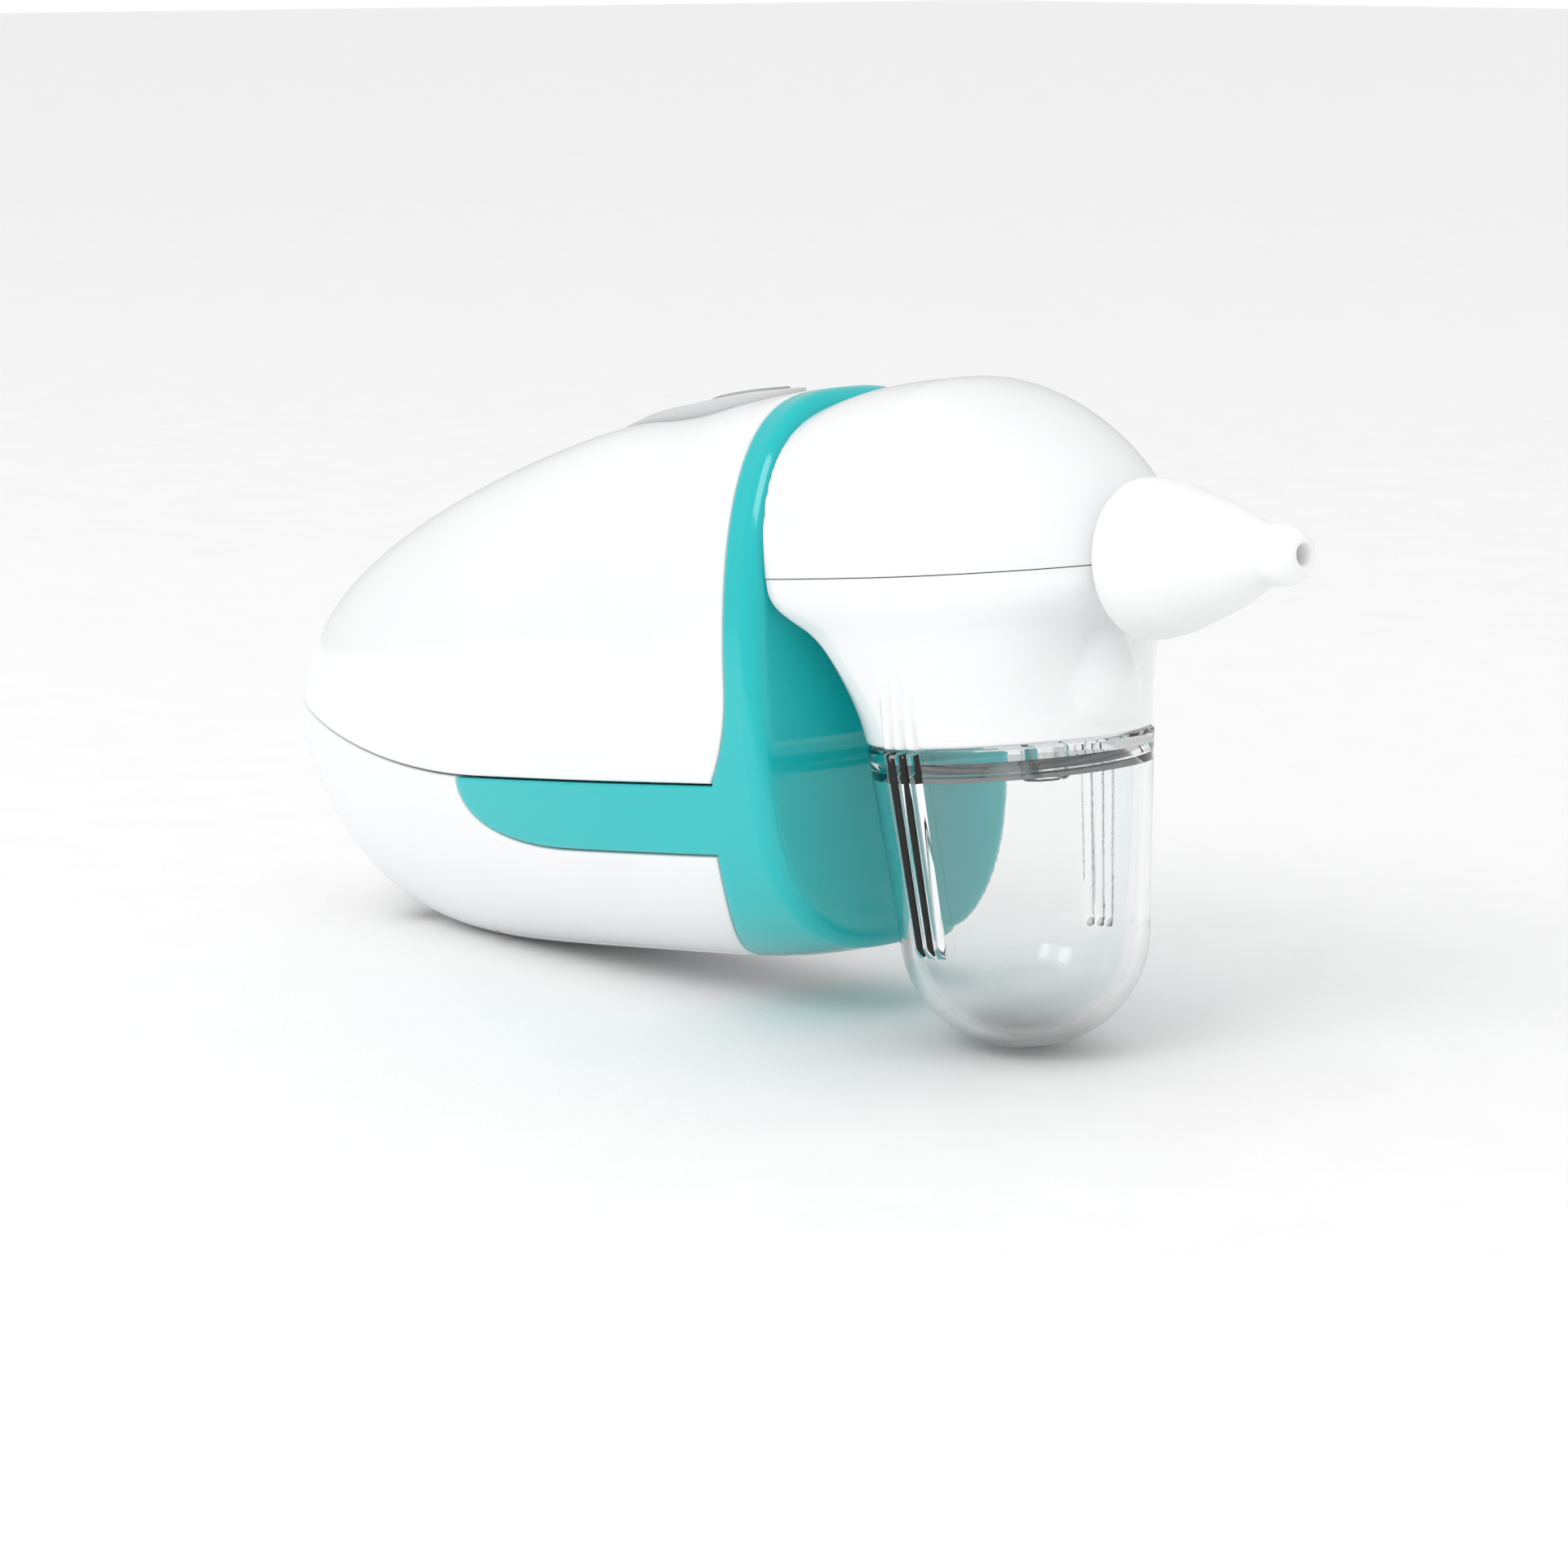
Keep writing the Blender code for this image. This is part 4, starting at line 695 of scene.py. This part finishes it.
def front_frame():
    """The teal piece: band, belt, chin and the wall behind the cup, as one moulding."""
    top_z = SEAM_Z - GAP / 2 - EDGE
    low_z = BELT_LOW_Z + EDGE
    start_x = FRONT_X - FRONT_FILLET
    belt_turns = even(0, QUARTER, 14)
    belt_levels = [min(belt_end(turn, -EDGE)[1], top_z) for turn in belt_turns]
    belt_levels[0] = top_z

    def rear(z):
        if z > top_z:
            return band_rear(z, EDGE)
        if z < low_z:
            return chin_rear(z, -EDGE)
        part = (z - low_z) / (top_z - low_z)
        return chin_rear(low_z, -EDGE) * (1 - part) + band_rear(top_z, EDGE) * part

    def ring(part):
        def x_at(z):
            return rear(z) + (start_x - rear(z)) * part

        chin = across(x_at, lambda x: -QUARTER, lambda x: angle_at(x, low_z), 26)
        belt = []
        for z in reversed(belt_levels[1:-1]):
            x = x_at(z)
            belt.append(section(x, angle_at(x, z)))
        band = across(x_at, lambda x: angle_at(x, top_z), lambda x: QUARTER, 44)
        return chin + belt + band

    def whole(half):
        return half + mirrored(half)[-2:0:-1]

    halves = [ring(part) for part in even(0, 1, 10)]
    first = halves[0]
    angles = [angle_at(start_x, p.z) for p in halves[-1]]
    angles[0], angles[-1] = -QUARTER, QUARTER
    rows = [whole(half) for half in halves]
    for step in range(1, 8):
        turn = QUARTER * step / 7
        x = start_x + FRONT_FILLET * math.sin(turn)
        inset = FRONT_FILLET * (1 - math.cos(turn))
        rows.append(whole([section_inset(start_x, x, angle, inset) for angle in angles]))
    for inset in (FRONT_FILLET + 0.4 * MM, FRONT_FILLET + 1.5 * MM):
        rows.append(whole([section_inset(start_x, FRONT_X, angle, inset) for angle in angles]))
    bm = bmesh.new()
    lines = sheet(bm, rows, closed=True)
    bm.faces.new(lines[-1])
    # the belt's two sides join the first ring at its belt levels
    first_belt = len(first) - 44 - (len(belt_levels) - 2) - 1
    for side in (1, -1):
        belt_rows = []
        for j, z in enumerate(reversed(belt_levels)):
            turn = belt_turns[len(belt_levels) - 1 - j]
            end_x = belt_end(turn, -EDGE)[0]
            join = first[first_belt + j]
            row = []
            for part in even(0, 1, 44):
                x = end_x + (join.x - end_x) * part
                point = section(x, angle_at(x, z))
                row.append(Vector((point.x, side * point.y, point.z)))
            row[-1] = Vector((join.x, side * join.y, join.z))
            belt_rows.append(row if side > 0 else row[::-1])
        sheet(bm, belt_rows)
    weld(bm)
    bmesh.ops.recalc_face_normals(bm, faces=bm.faces)
    thicken(bm, WALL)
    return piece("front_frame_skin", bm, "pod", TEAL, ["front_frame"])


def belly_height(x, y):
    top, keel = pod_top(x), pod_keel(x)
    middle = keel + MIDDLE * (top - keel)
    c = min(abs(y) / pod_half_width(x), 1) ** (KEEL_SIDE_POWER / 2)
    z = middle - (middle - keel) * math.sqrt(1 - c * c) ** (2 / KEEL_POWER)
    return max(z, BELLY_Z, table_z(x))


def spine_height(x, y, lift):
    """Height of the button strip's surface: the undipped spine, raised by lift."""
    top, keel = spine_z(x), pod_keel(x)
    middle = keel + MIDDLE * (top - keel)
    c = min(abs(y) / (pod_half_width(x) + lift), 1) ** (1 / upper_power(x))
    return middle + (top + lift - middle) * math.sqrt(1 - c * c) ** (2 / SPINE_POWER)


def battery_door():
    rows = []
    for x in even(DOOR_REAR_X + EDGE, DOOR_FRONT_X - EDGE, 48):
        row = []
        for y in even(-DOOR_HALF_WIDTH + EDGE, DOOR_HALF_WIDTH - EDGE, 40):
            row.append(Vector((x, y, belly_height(x, y))))
        rows.append(row)
    bm = bmesh.new()
    sheet(bm, rows)
    thicken(bm, WALL, facing=Vector((0, 0, -1)))
    return piece("battery_door_skin", bm, "door", SATIN_WHITE, ["battery_door"])


# ---------------------------------------------------------------- buttons


def strip_outline(grow, rear=STRIP_REAR_X, front=STRIP_FRONT_X, width=STRIP_HALF_WIDTH, count=96):
    """Plan of the button strip: an oval that narrows to the rear."""
    middle = (rear + front) / 2
    reach = (front - rear) / 2 + grow
    points = []
    for k in range(count):
        angle = 2 * math.pi * k / count
        along = math.cos(angle)
        narrow = 1 + 0.28 * along
        points.append((middle + reach * along, (width * narrow + grow) * math.sin(angle)))
    return points


def plan_prism(outline, low, high):
    bm = bmesh.new()
    sheet(bm, [[Vector((x, y, z)) for x, y in outline] for z in (low, high)], closed=True)
    bmesh.ops.holes_fill(bm, edges=bm.edges)
    return bm


def pad(outline, depth, lift, dish=0.0, rings=14):
    """A pad whose face follows the spine. dish hollows its middle."""
    middle = Vector((sum(p[0] for p in outline), sum(p[1] for p in outline))) / len(outline)
    bm = bmesh.new()
    rows = []
    for part in even(0.0001, 1, rings):
        row = []
        for point in outline:
            x, y = middle + (Vector(point) - middle) * part
            hollow = dish * (1 - part * part)
            row.append(Vector((x, y, spine_height(x, y, lift) - hollow)))
        rows.append(row)
    lines = sheet(bm, rows, closed=True)
    bm.faces.new(lines[0])
    thicken(bm, depth, facing=Vector((0, 0, 1)))
    return bm


def buttons():
    outline = strip_outline(-EDGE)
    pad_mesh = pad(outline, STRIP_THICK, STRIP_LIFT)
    bezel = piece("button_bezel_skin", pad_mesh, "pod", LIGHT_GREY, ["button_bezel"])
    for name, span, dish, finish, slot in (
        ("power_button", POWER_SPAN, 0.0, GREY, "grey"),
        ("level_button", LEVEL_SPAN, 0.25 * MM, LIGHT_GREY, "light_grey"),
    ):
        hole = strip_outline(GAP * 0.6, *span, BUTTON_HALF_WIDTH, 72)
        cut(bezel, plan_prism(hole, 30 * MM, 60 * MM))
        outline = strip_outline(-EDGE, *span, BUTTON_HALF_WIDTH, 72)
        body = pad(outline, 2.6 * MM, STRIP_LIFT + BUTTON_LIFT, dish)
        piece(name + "_skin", body, name, finish, [name])


# ---------------------------------------------------------------- head


def curved(value, power):
    return math.copysign(abs(value) ** power, value)


def soft_min(value, limit, soft):
    """The smaller of the two, rounded over where they meet."""
    gap = (value - limit) / soft
    if gap > 30:
        return limit
    return value - soft * math.log1p(math.exp(gap))


def head_plan(angle):
    """A point of the head's plan outline: an ellipse in front that grows squarer to the rear."""
    c, s = math.cos(angle), math.sin(angle)
    reach = HEAD_FRONT if c >= 0 else HEAD_REAR
    power = 2.3 - 0.3 * math.tanh(3 * c)
    return Vector((HEAD_CENTRE_X + reach * curved(c, 2 / power), HEAD_HALF_WIDTH * curved(s, 2 / power)))


def clamp_head(point, inset=0.0):
    """Flattens the head at the tip's seat and at the pod's front wall."""
    x = soft_min(point.x, SEAT_X - inset, 0.25 * MM)
    x = max(x, HEAD_REAR_X + inset)
    return Vector((x, point.y, point.z))


def head_turns(count=240):
    return [2 * math.pi * k / count for k in range(count)]


def closing(part, power, soft=0.0):
    """What is left of a half-width at a share of the dome's height, with its crown rounded over."""
    rest = max(1 - part**power, 0)
    low = soft**power
    high = (1 + soft * soft) ** (power / 2)
    return math.sqrt(max((rest * (high - low) + low) ** (2 / power) - soft * soft, 0))


def dome_row(z, inset, turns):
    """A level line of the cover: the plan drawn in towards the head's centre."""
    part = min(z / (DOME_HEIGHT - inset), 1)
    front = closing(part, DOME_FRONT_POWER, CROWN_SOFTNESS)
    rear = closing(part, DOME_REAR_POWER)
    side = closing(part, DOME_SIDE_POWER)
    row = []
    for angle in turns:
        plan = head_plan(angle)
        reach = math.hypot(plan.x - HEAD_CENTRE_X, plan.y)
        shrink = 1 - inset / reach
        x = (plan.x - HEAD_CENTRE_X) * shrink
        x *= front if x >= 0 else rear
        point = Vector((HEAD_CENTRE_X + x, plan.y * shrink * side, PARTING_Z + z))
        row.append(clamp_head(point, inset if inset > EDGE else 0))
    return row


def head_cover():
    turns = head_turns()
    low = PARTING_GAP / 2
    edge = PARTING_EDGE
    rows = []
    for k in range(1, 25):
        rows.append(dome_row((DOME_HEIGHT - WALL) * math.cos(QUARTER * k / 24), WALL, turns))
    rows.append(dome_row(low, WALL, turns))
    for k in range(5):
        turn = QUARTER * k / 4
        rows.append(dome_row(low + edge * (1 - math.cos(turn)), edge * (1 - math.sin(turn)), turns))
    for k in range(1, 61):
        z = DOME_HEIGHT * math.sin(QUARTER * k / 60)
        if z > low + edge:
            rows.append(dome_row(min(z, DOME_HEIGHT * 0.99999), 0, turns))
    bm = bmesh.new()
    sheet(bm, rows, closed=True)
    bmesh.ops.holes_fill(bm, edges=bm.edges)
    cover = piece("head_cover_skin", bm, "pod", GLOSS_WHITE, ["head_cover"])
    return cut(cover, nozzle_hole())


def nozzle_hole():
    radius = NOZZLE_HOLE_RADIUS
    profile = [(0, 5 * MM), (radius, 5 * MM), (radius, 40 * MM), (0, 40 * MM)]
    return lathe(profile, 64, (0, 0, PARTING_Z), True)


def rib_height(angle, radius):
    """How far the grip ribs stand out of a wall of the given radius."""
    best = 0.0
    for side in (1, -1):
        for k in (-1, 0, 1):
            centre = side * (RIB_ANGLE + k * RIB_STEP)
            away = (angle - centre + math.pi) % (2 * math.pi) - math.pi
            reach = abs(away) * radius
            if reach < RIB_RADIUS:
                best = max(best, math.sqrt(RIB_RADIUS**2 - reach**2))
    return best


def ribbed_turns():
    """Angles round the neck and cup, closer together over the grip ribs."""
    turns = []
    fine = math.radians(0.45)
    coarse = math.radians(2)
    half_span = RIB_STEP * 1.6
    for side in (RIB_ANGLE, 2 * math.pi - RIB_ANGLE):
        turns.append([side + fine * k for k in range(int(-half_span / fine), int(half_span / fine) + 1)])
    near, far = turns
    gaps = ((far[-1] - 2 * math.pi, near[0]), (near[-1], far[0]))
    result = []
    for (low, high), run in zip(gaps, (near, far)):
        steps = int((high - low) / coarse)
        result += even(low, high, steps)[1:-1] + run
    return result


def funnel_spot(z, angle):
    """A point of the funnel's wall: a circle at the cup, the head's plan at the top."""
    (spread,) = smooth_table(FUNNEL, z / MM)
    plan = head_plan(angle)
    plan.x = max(plan.x, HEAD_REAR_X)
    c = math.cos(angle)
    # the front stays upright longest, where the duct stands
    share_here = spread ** (1 + 0.05 * (1 + c) + 3.2 * max(c, 0) ** 8)
    spot = COLLAR_RADIUS * Vector((c, math.sin(angle)))
    return spot + (plan - spot) * share_here


def duct_reach(z, direction):
    """Where a ray from the cup's axis leaves the duct's level section, or 0."""
    front, half_width = smooth_table(DUCT, max(z / MM, DUCT[0][0]))
    a, b = DUCT_LENGTH * half_width * MM, half_width * MM
    centre = front * MM - a
    dx, dy = direction
    qa = (dx / a) ** 2 + (dy / b) ** 2
    qb = -2 * centre * dx / a**2
    qc = (centre / a) ** 2 - 1
    root = qb * qb - 4 * qa * qc
    if root <= 0:
        return 0.0
    return (-qb + math.sqrt(root)) / (2 * qa)


def base_row(z, inset, turns, ribs=True):
    """A level line of the head's base: funnel, duct and grip ribs together."""
    # the creases beside the duct are sharp above and fade out towards the cup
    soft = (0.15 + 0.85 * min(max(1.5 - z / (6 * MM), 0), 1)) * MM
    row = []
    for angle in turns:
        spot = funnel_spot(z, angle)
        reach = spot.length
        direction = spot / reach
        duct = duct_reach(z, direction)
        if duct > 0:
            blend = soft * math.log1p(math.exp(-abs(reach - duct) / soft))
            reach = max(reach, duct) + min(blend, max(duct - reach, 0) + blend * 0.6)
        if ribs:
            fade = min(max((COLLAR_RIB_TOP - z) / COLLAR_RIB_FADE, 0), 1) ** 0.5
            rib = rib_height(math.atan2(direction.y, direction.x), COLLAR_RIB_WALL)
            reach = max(reach, COLLAR_RIB_WALL + rib * fade)
        reach -= inset
        point = Vector((direction.x * reach, direction.y * reach, z))
        row.append(clamp_head(point, inset if inset > EDGE else 0))
    return row


def circle_row(radius, z, turns):
    return [Vector((radius * math.cos(a), radius * math.sin(a), z)) for a in turns]


def head_base():
    turns = ribbed_turns()
    high = PARTING_Z - PARTING_GAP / 2
    edge = PARTING_EDGE
    foot = COLLAR_FOOT_EDGE
    rows = [circle_row(0.01 * MM, FLOOR_TOP, turns)]
    for z in even(FLOOR_TOP, high, 12):
        rows.append(base_row(z, WALL, turns, ribs=False))
    for k in range(5):
        turn = QUARTER * k / 4
        rows.append(base_row(high - edge * (1 - math.cos(turn)), edge * (1 - math.sin(turn)), turns))
    for z in even(high - edge, foot, 64)[1:]:
        rows.append(base_row(z, 0, turns))
    for k in range(1, 4):
        turn = QUARTER * k / 3
        rows.append(base_row(foot * (1 - math.sin(turn)), foot * (1 - math.cos(turn)), turns))
    rows.append(circle_row(SOCKET_RADIUS, 0, turns))
    rows.append(circle_row(SOCKET_RADIUS, FLOOR_LOW, turns))
    rows.append(circle_row(0.01 * MM, FLOOR_LOW, turns))
    bm = bmesh.new()
    sheet(bm, rows, closed=True)
    bmesh.ops.holes_fill(bm, edges=bm.edges)
    base = piece("head_base_skin", bm, "pod", GLOSS_WHITE, ["head_base"])
    cut(base, nozzle_hole())
    for x, radius in ((INLET_X, INLET_RADIUS + GAP), (VALVE_X, VALVE_HOLE_RADIUS)):
        hole = [(0, 4 * MM), (radius, 4 * MM), (radius, 10 * MM), (0, 10 * MM)]
        cut(base, lathe(hole, 48, (x, 0, 0)))
    return base


def nozzle_parts():
    """The spigot under the tip, the drop tube, the valve and the seal."""
    spigot = [
        (0.01 * MM, 3 * MM),
        (2.2 * MM, 3 * MM),
        (2.2 * MM, 32.4 * MM),
        *arc((2.4 * MM, 32.4 * MM), 0.2 * MM, 180, 90, 3),
        *arc((3.5 * MM, 32.1 * MM), 0.5 * MM, 90, 0),
        (4 * MM, 23.95 * MM),
        (7.35 * MM, 23.8 * MM),
        *arc((7.35 * MM, 23.45 * MM), 0.25 * MM, 90, -90),
        (4 * MM, 23.1 * MM),
        (4 * MM, 1.6 * MM),
        (0.01 * MM, 1.6 * MM),
    ]
    bm = lathe(spigot, 72, (0, 0, PARTING_Z), True)
    bmesh.ops.holes_fill(bm, edges=bm.edges)
    obj = piece("nozzle_spigot_skin", bm, "pod", GLOSS_WHITE, ["nozzle_spigot"])
    drop = lathe([(0, 0), (1.6 * MM, 0), (1.6 * MM, -8 * MM), (0, -8 * MM)], 40, (INLET_X, 0, PARTING_Z))
    cut(obj, drop)
    top = PARTING_Z - 4.4 * MM
    tube = [(INLET_RADIUS, top), (INLET_RADIUS, -5 * MM), (INLET_RADIUS - 0.2 * MM, -5.2 * MM)]
    tube += [(1.9 * MM, -5.2 * MM), (1.7 * MM, -5 * MM), (1.7 * MM, top)]
    bm = lathe(tube, 64, (INLET_X, 0, 0), closed=True)
    piece("inlet_tube_skin", bm, "pod", CLEAR, ["inlet_tube"])
    valve = [(0.01 * MM, 3.6 * MM), *arc((1.6 * MM, 3.3 * MM), 0.3 * MM, 90, 0), (1.9 * MM, 2.4 * MM)]
    valve += [(1 * MM, 2.2 * MM), (1 * MM, -0.6 * MM), *arc((3.15 * MM, -0.95 * MM), 0.25 * MM, 90, -90)]
    valve += [(1.5 * MM, -1.5 * MM), (0.01 * MM, -1.6 * MM)]
    bm = lathe(valve, 56, (VALVE_X, 0, FLOOR_LOW))
    bmesh.ops.holes_fill(bm, edges=bm.edges)
    piece("check_valve_skin", bm, "pod", SILICONE, ["check_valve"])
    ring = arc((NECK_RADIUS - 0.15 * MM, (GROOVE_LOW + GROOVE_TOP) / 2), 0.35 * MM, 90, -240, 12)
    piece("cup_seal_skin", lathe(ring, 128, closed=True), "pod", SILICONE, ["cup_seal"])


def silicone_tip():
    """The soft tip: a ring that cups the nozzle's flange, a cone and a blunt rounded end."""
    outside = (
        (23.75, 8.95),
        (24.4, 9.0),
        (26.5, 8.8),
        (29, 8.25),
        (32, 7.2),
        (35, 6.2),
        (38, 4.95),
        (40.2, 3.8),
        (41.5, 3.38),
        (42.8, 3.4),
        (44.2, 3.3),
        (45.4, 2.75),
        (46.2, 1.95),
    )
    profile = arc((8.45 * MM, 23.75 * MM), 0.45 * MM, 180, 250, 4)
    profile += arc((8.5 * MM, 23.75 * MM), 0.45 * MM, 270, 350, 6)
    for x in even(23.75, 46.2, 90):
        (radius,) = smooth_table(outside, x)
        profile.append((radius * MM, x * MM))
    profile += [(1.55 * MM, 46.42 * MM), (1.35 * MM, 46.42 * MM), (1.2 * MM, 46.2 * MM)]
    profile += [(1.2 * MM, 40 * MM), (2.6 * MM, 37 * MM), (4.3 * MM, 33.2 * MM), (4.3 * MM, 24.1 * MM)]
    profile += [(8 * MM, 24.1 * MM)]
    bm = lathe(profile, 112, (0, 0, PARTING_Z), True, closed=True)
    piece("silicone_tip_skin", bm, "tip", SILICONE, ["silicone_tip"], sharp=50)


# ---------------------------------------------------------------- cup


def cup_row(radius, z, turns, ribs):
    row = []
    slope = (CUP_RIM_RADIUS - CUP_WAIST_RADIUS) / -CUP_WAIST_Z
    for angle in turns:
        reach = radius
        if ribs:
            fade = min(max((z - CUP_WAIST_Z + 1.4 * MM) / (1.2 * MM), 0), 1) ** 0.5
            wall = CUP_RIM_RADIUS + slope * z - 0.05 * MM
            reach = max(reach, wall + rib_height(angle, wall) * fade)
        row.append(Vector((reach * math.cos(angle), reach * math.sin(angle), z)))
    return row


def collection_cup():
    turns = ribbed_turns()
    rim = -GAP
    inner_waist = CUP_WAIST_RADIUS - CUP_WALL
    inner_depth = CUP_BOTTOM_DEPTH - CUP_WALL
    inner_last = math.acos(2.6 * MM / inner_waist)
    outer_last = math.acos(CUP_FOOT_RADIUS / CUP_WAIST_RADIUS)
    rows = [circle_row(0.01 * MM, CUP_WAIST_Z - inner_depth * math.sin(inner_last), turns)]
    for turn in even(inner_last, 0, 28):
        z = CUP_WAIST_Z - inner_depth * math.sin(turn)
        rows.append(circle_row(inner_waist * math.cos(turn), z, turns))
    inner_rim = CUP_RIM_RADIUS - CUP_WALL
    profile = [
        (inner_rim, rim - CUP_WALL - (inner_rim - NECK_BORE)),
        (NECK_BORE, rim - CUP_WALL),
        (NECK_BORE, NECK_TOP - 0.3 * MM),
        (NECK_BORE + 0.3 * MM, NECK_TOP),
        (NECK_RADIUS - 0.4 * MM, NECK_TOP),
        (NECK_RADIUS, NECK_TOP - 0.4 * MM),
        (NECK_RADIUS, GROOVE_TOP),
        (GROOVE_RADIUS, GROOVE_TOP),
        (GROOVE_RADIUS, GROOVE_LOW),
        (NECK_RADIUS, GROOVE_LOW),
        (NECK_RADIUS, rim + 0.2 * MM),
        (NECK_RADIUS + 0.2 * MM, rim),
    ]
    rows += [circle_row(radius, z, turns) for radius, z in profile]
    rows.append(cup_row(CUP_RIM_RADIUS - 0.3 * MM, rim, turns, False))
    rows.append(cup_row(CUP_RIM_RADIUS, rim - 0.25 * MM, turns, True))
    for z in even(rim - 0.25 * MM, CUP_WAIST_Z + 0.4 * MM, 24)[1:]:
        part = z / CUP_WAIST_Z
        rows.append(cup_row(CUP_RIM_RADIUS + (CUP_WAIST_RADIUS - CUP_RIM_RADIUS) * part, z, turns, True))
    for z in even(CUP_WAIST_Z, CUP_WAIST_Z - 1.6 * MM, 8):
        drop = (CUP_WAIST_Z - z) / CUP_BOTTOM_DEPTH
        rows.append(cup_row(CUP_WAIST_RADIUS * math.sqrt(1 - drop * drop), z, turns, True))
    first_turn = math.asin(1.6 * MM / CUP_BOTTOM_DEPTH)
    for turn in even(first_turn, outer_last, 30)[1:]:
        z = CUP_WAIST_Z - CUP_BOTTOM_DEPTH * math.sin(turn)
        rows.append(circle_row(CUP_WAIST_RADIUS * math.cos(turn), z, turns))
    rows.append(circle_row(0.01 * MM, CUP_WAIST_Z - CUP_BOTTOM_DEPTH * math.sin(outer_last), turns))
    bm = bmesh.new()
    sheet(bm, rows, closed=True)
    bmesh.ops.holes_fill(bm, edges=bm.edges)
    piece("collection_cup_skin", bm, "cup", CLEAR, ["collection_cup"])


# ---------------------------------------------------------------- inner CAD nodes


def dress_cad_nodes():
    """Gives every CAD node that still shows a finished material."""
    cell_skin = moulded("cell_skin", (0.12, 0.11, 0.1), 0.25, shade=0.08)
    red_lead = moulded("red_lead", (0.5, 0.01, 0.01), 0.4)
    finishes = {
        "suction_port": LIGHT_GREY,
        "suction_hose": SILICONE,
        "pump_head": LIGHT_GREY,
        "pump_body": DARK,
        "pump_diaphragm": DARK,
        "motor": MOTOR_CAN,
        "motor_shaft": STEEL,
        "eccentric": BRASS,
        "circuit_board": moulded("board", (0.01, 0.12, 0.05), 0.3, shade=0.1),
        "power_switch": DARK,
        "level_switch": DARK,
        "chassis": SATIN_WHITE,
        "battery_left": cell_skin,
        "battery_right": cell_skin,
        "spring_left": STEEL,
        "spring_right": STEEL,
        "contact_bridge": BRASS,
        "contact_positive": BRASS,
        "contact_negative": BRASS,
        "motor_lead_red": red_lead,
        "battery_lead_red": red_lead,
        "motor_lead_black": DARK,
        "battery_lead_black": DARK,
    }
    for name, obj in frame["nodes"].items():
        if "screw" in name:
            finishes[name] = STEEL
        if name in finishes:
            obj.data.materials.clear()
            obj.data.materials.append(finishes[name])


# ---------------------------------------------------------------- studio


def look_at(obj, target):
    obj.rotation_euler = (Vector(target) - obj.location).to_track_quat("-Z", "Y").to_euler()


def camera():
    data = bpy.data.cameras.new("camera")
    data.lens = CAMERA_LENS
    data.sensor_width = 36
    data.clip_start = 0.01
    obj = bpy.data.objects.new("camera", data)
    target = Vector(CAMERA_TARGET)
    away = Vector((math.sin(CAMERA_AZIMUTH), -math.cos(CAMERA_AZIMUTH), 0)) * math.cos(CAMERA_ELEVATION)
    away.z = math.sin(CAMERA_ELEVATION)
    obj.location = target + away * CAMERA_DISTANCE
    look_at(obj, target)
    bpy.context.scene.collection.objects.link(obj)
    bpy.context.scene.camera = obj


def softbox(name, location, target, size, power):
    data = bpy.data.lights.new(name, "AREA")
    data.shape = "RECTANGLE"
    data.size, data.size_y = size
    data.energy = power
    obj = bpy.data.objects.new(name, data)
    obj.location = location
    look_at(obj, target)
    bpy.context.scene.collection.objects.link(obj)
    return obj


def studio():
    """A pale floor under an even white room that glossy surfaces see darker, so that softboxes show."""
    bm = bmesh.new()
    bmesh.ops.create_grid(bm, x_segments=1, y_segments=1, size=6)
    mesh = bpy.data.meshes.new("floor")
    bm.to_mesh(mesh)
    bm.free()
    mesh.materials.append(moulded("paper", (0.9, 0.9, 0.9), 0.8, grain=0.05, shade=0.004))
    floor = bpy.data.objects.new("floor", mesh)
    floor.location.z = -0.0002
    bpy.context.scene.collection.objects.link(floor)
    world = bpy.data.worlds.new("studio")
    bpy.context.scene.world = world
    world.use_nodes = True
    nodes, links = world.node_tree.nodes, world.node_tree.links
    room = nodes["Background"]
    room.inputs["Strength"].default_value = ROOM_STRENGTH
    room.inputs["Color"].default_value = (1, 1, 1, 1)
    mirrored_room = nodes.new("ShaderNodeBackground")
    mirrored_room.inputs["Strength"].default_value = MIRRORED_ROOM_STRENGTH
    mirrored_room.inputs["Color"].default_value = (1, 1, 1, 1)
    path = nodes.new("ShaderNodeLightPath")
    mix = nodes.new("ShaderNodeMixShader")
    links.new(path.outputs["Is Glossy Ray"], mix.inputs["Fac"])
    links.new(room.outputs["Background"], mix.inputs[1])
    links.new(mirrored_room.outputs["Background"], mix.inputs[2])
    links.new(mix.outputs["Shader"], nodes["World Output"].inputs["Surface"])
    softbox("key", (0.1, -0.9, 0.8), (0, 0, 0.03), (0.7, 0.5), KEY_POWER)
    bpy.context.scene.view_settings.view_transform = "Standard"


camera()
studio()
upper_shell()
lower_shell()
front_frame()
battery_door()
buttons()
head_cover()
head_base()
nozzle_parts()
silicone_tip()
collection_cup()
dress_cad_nodes()
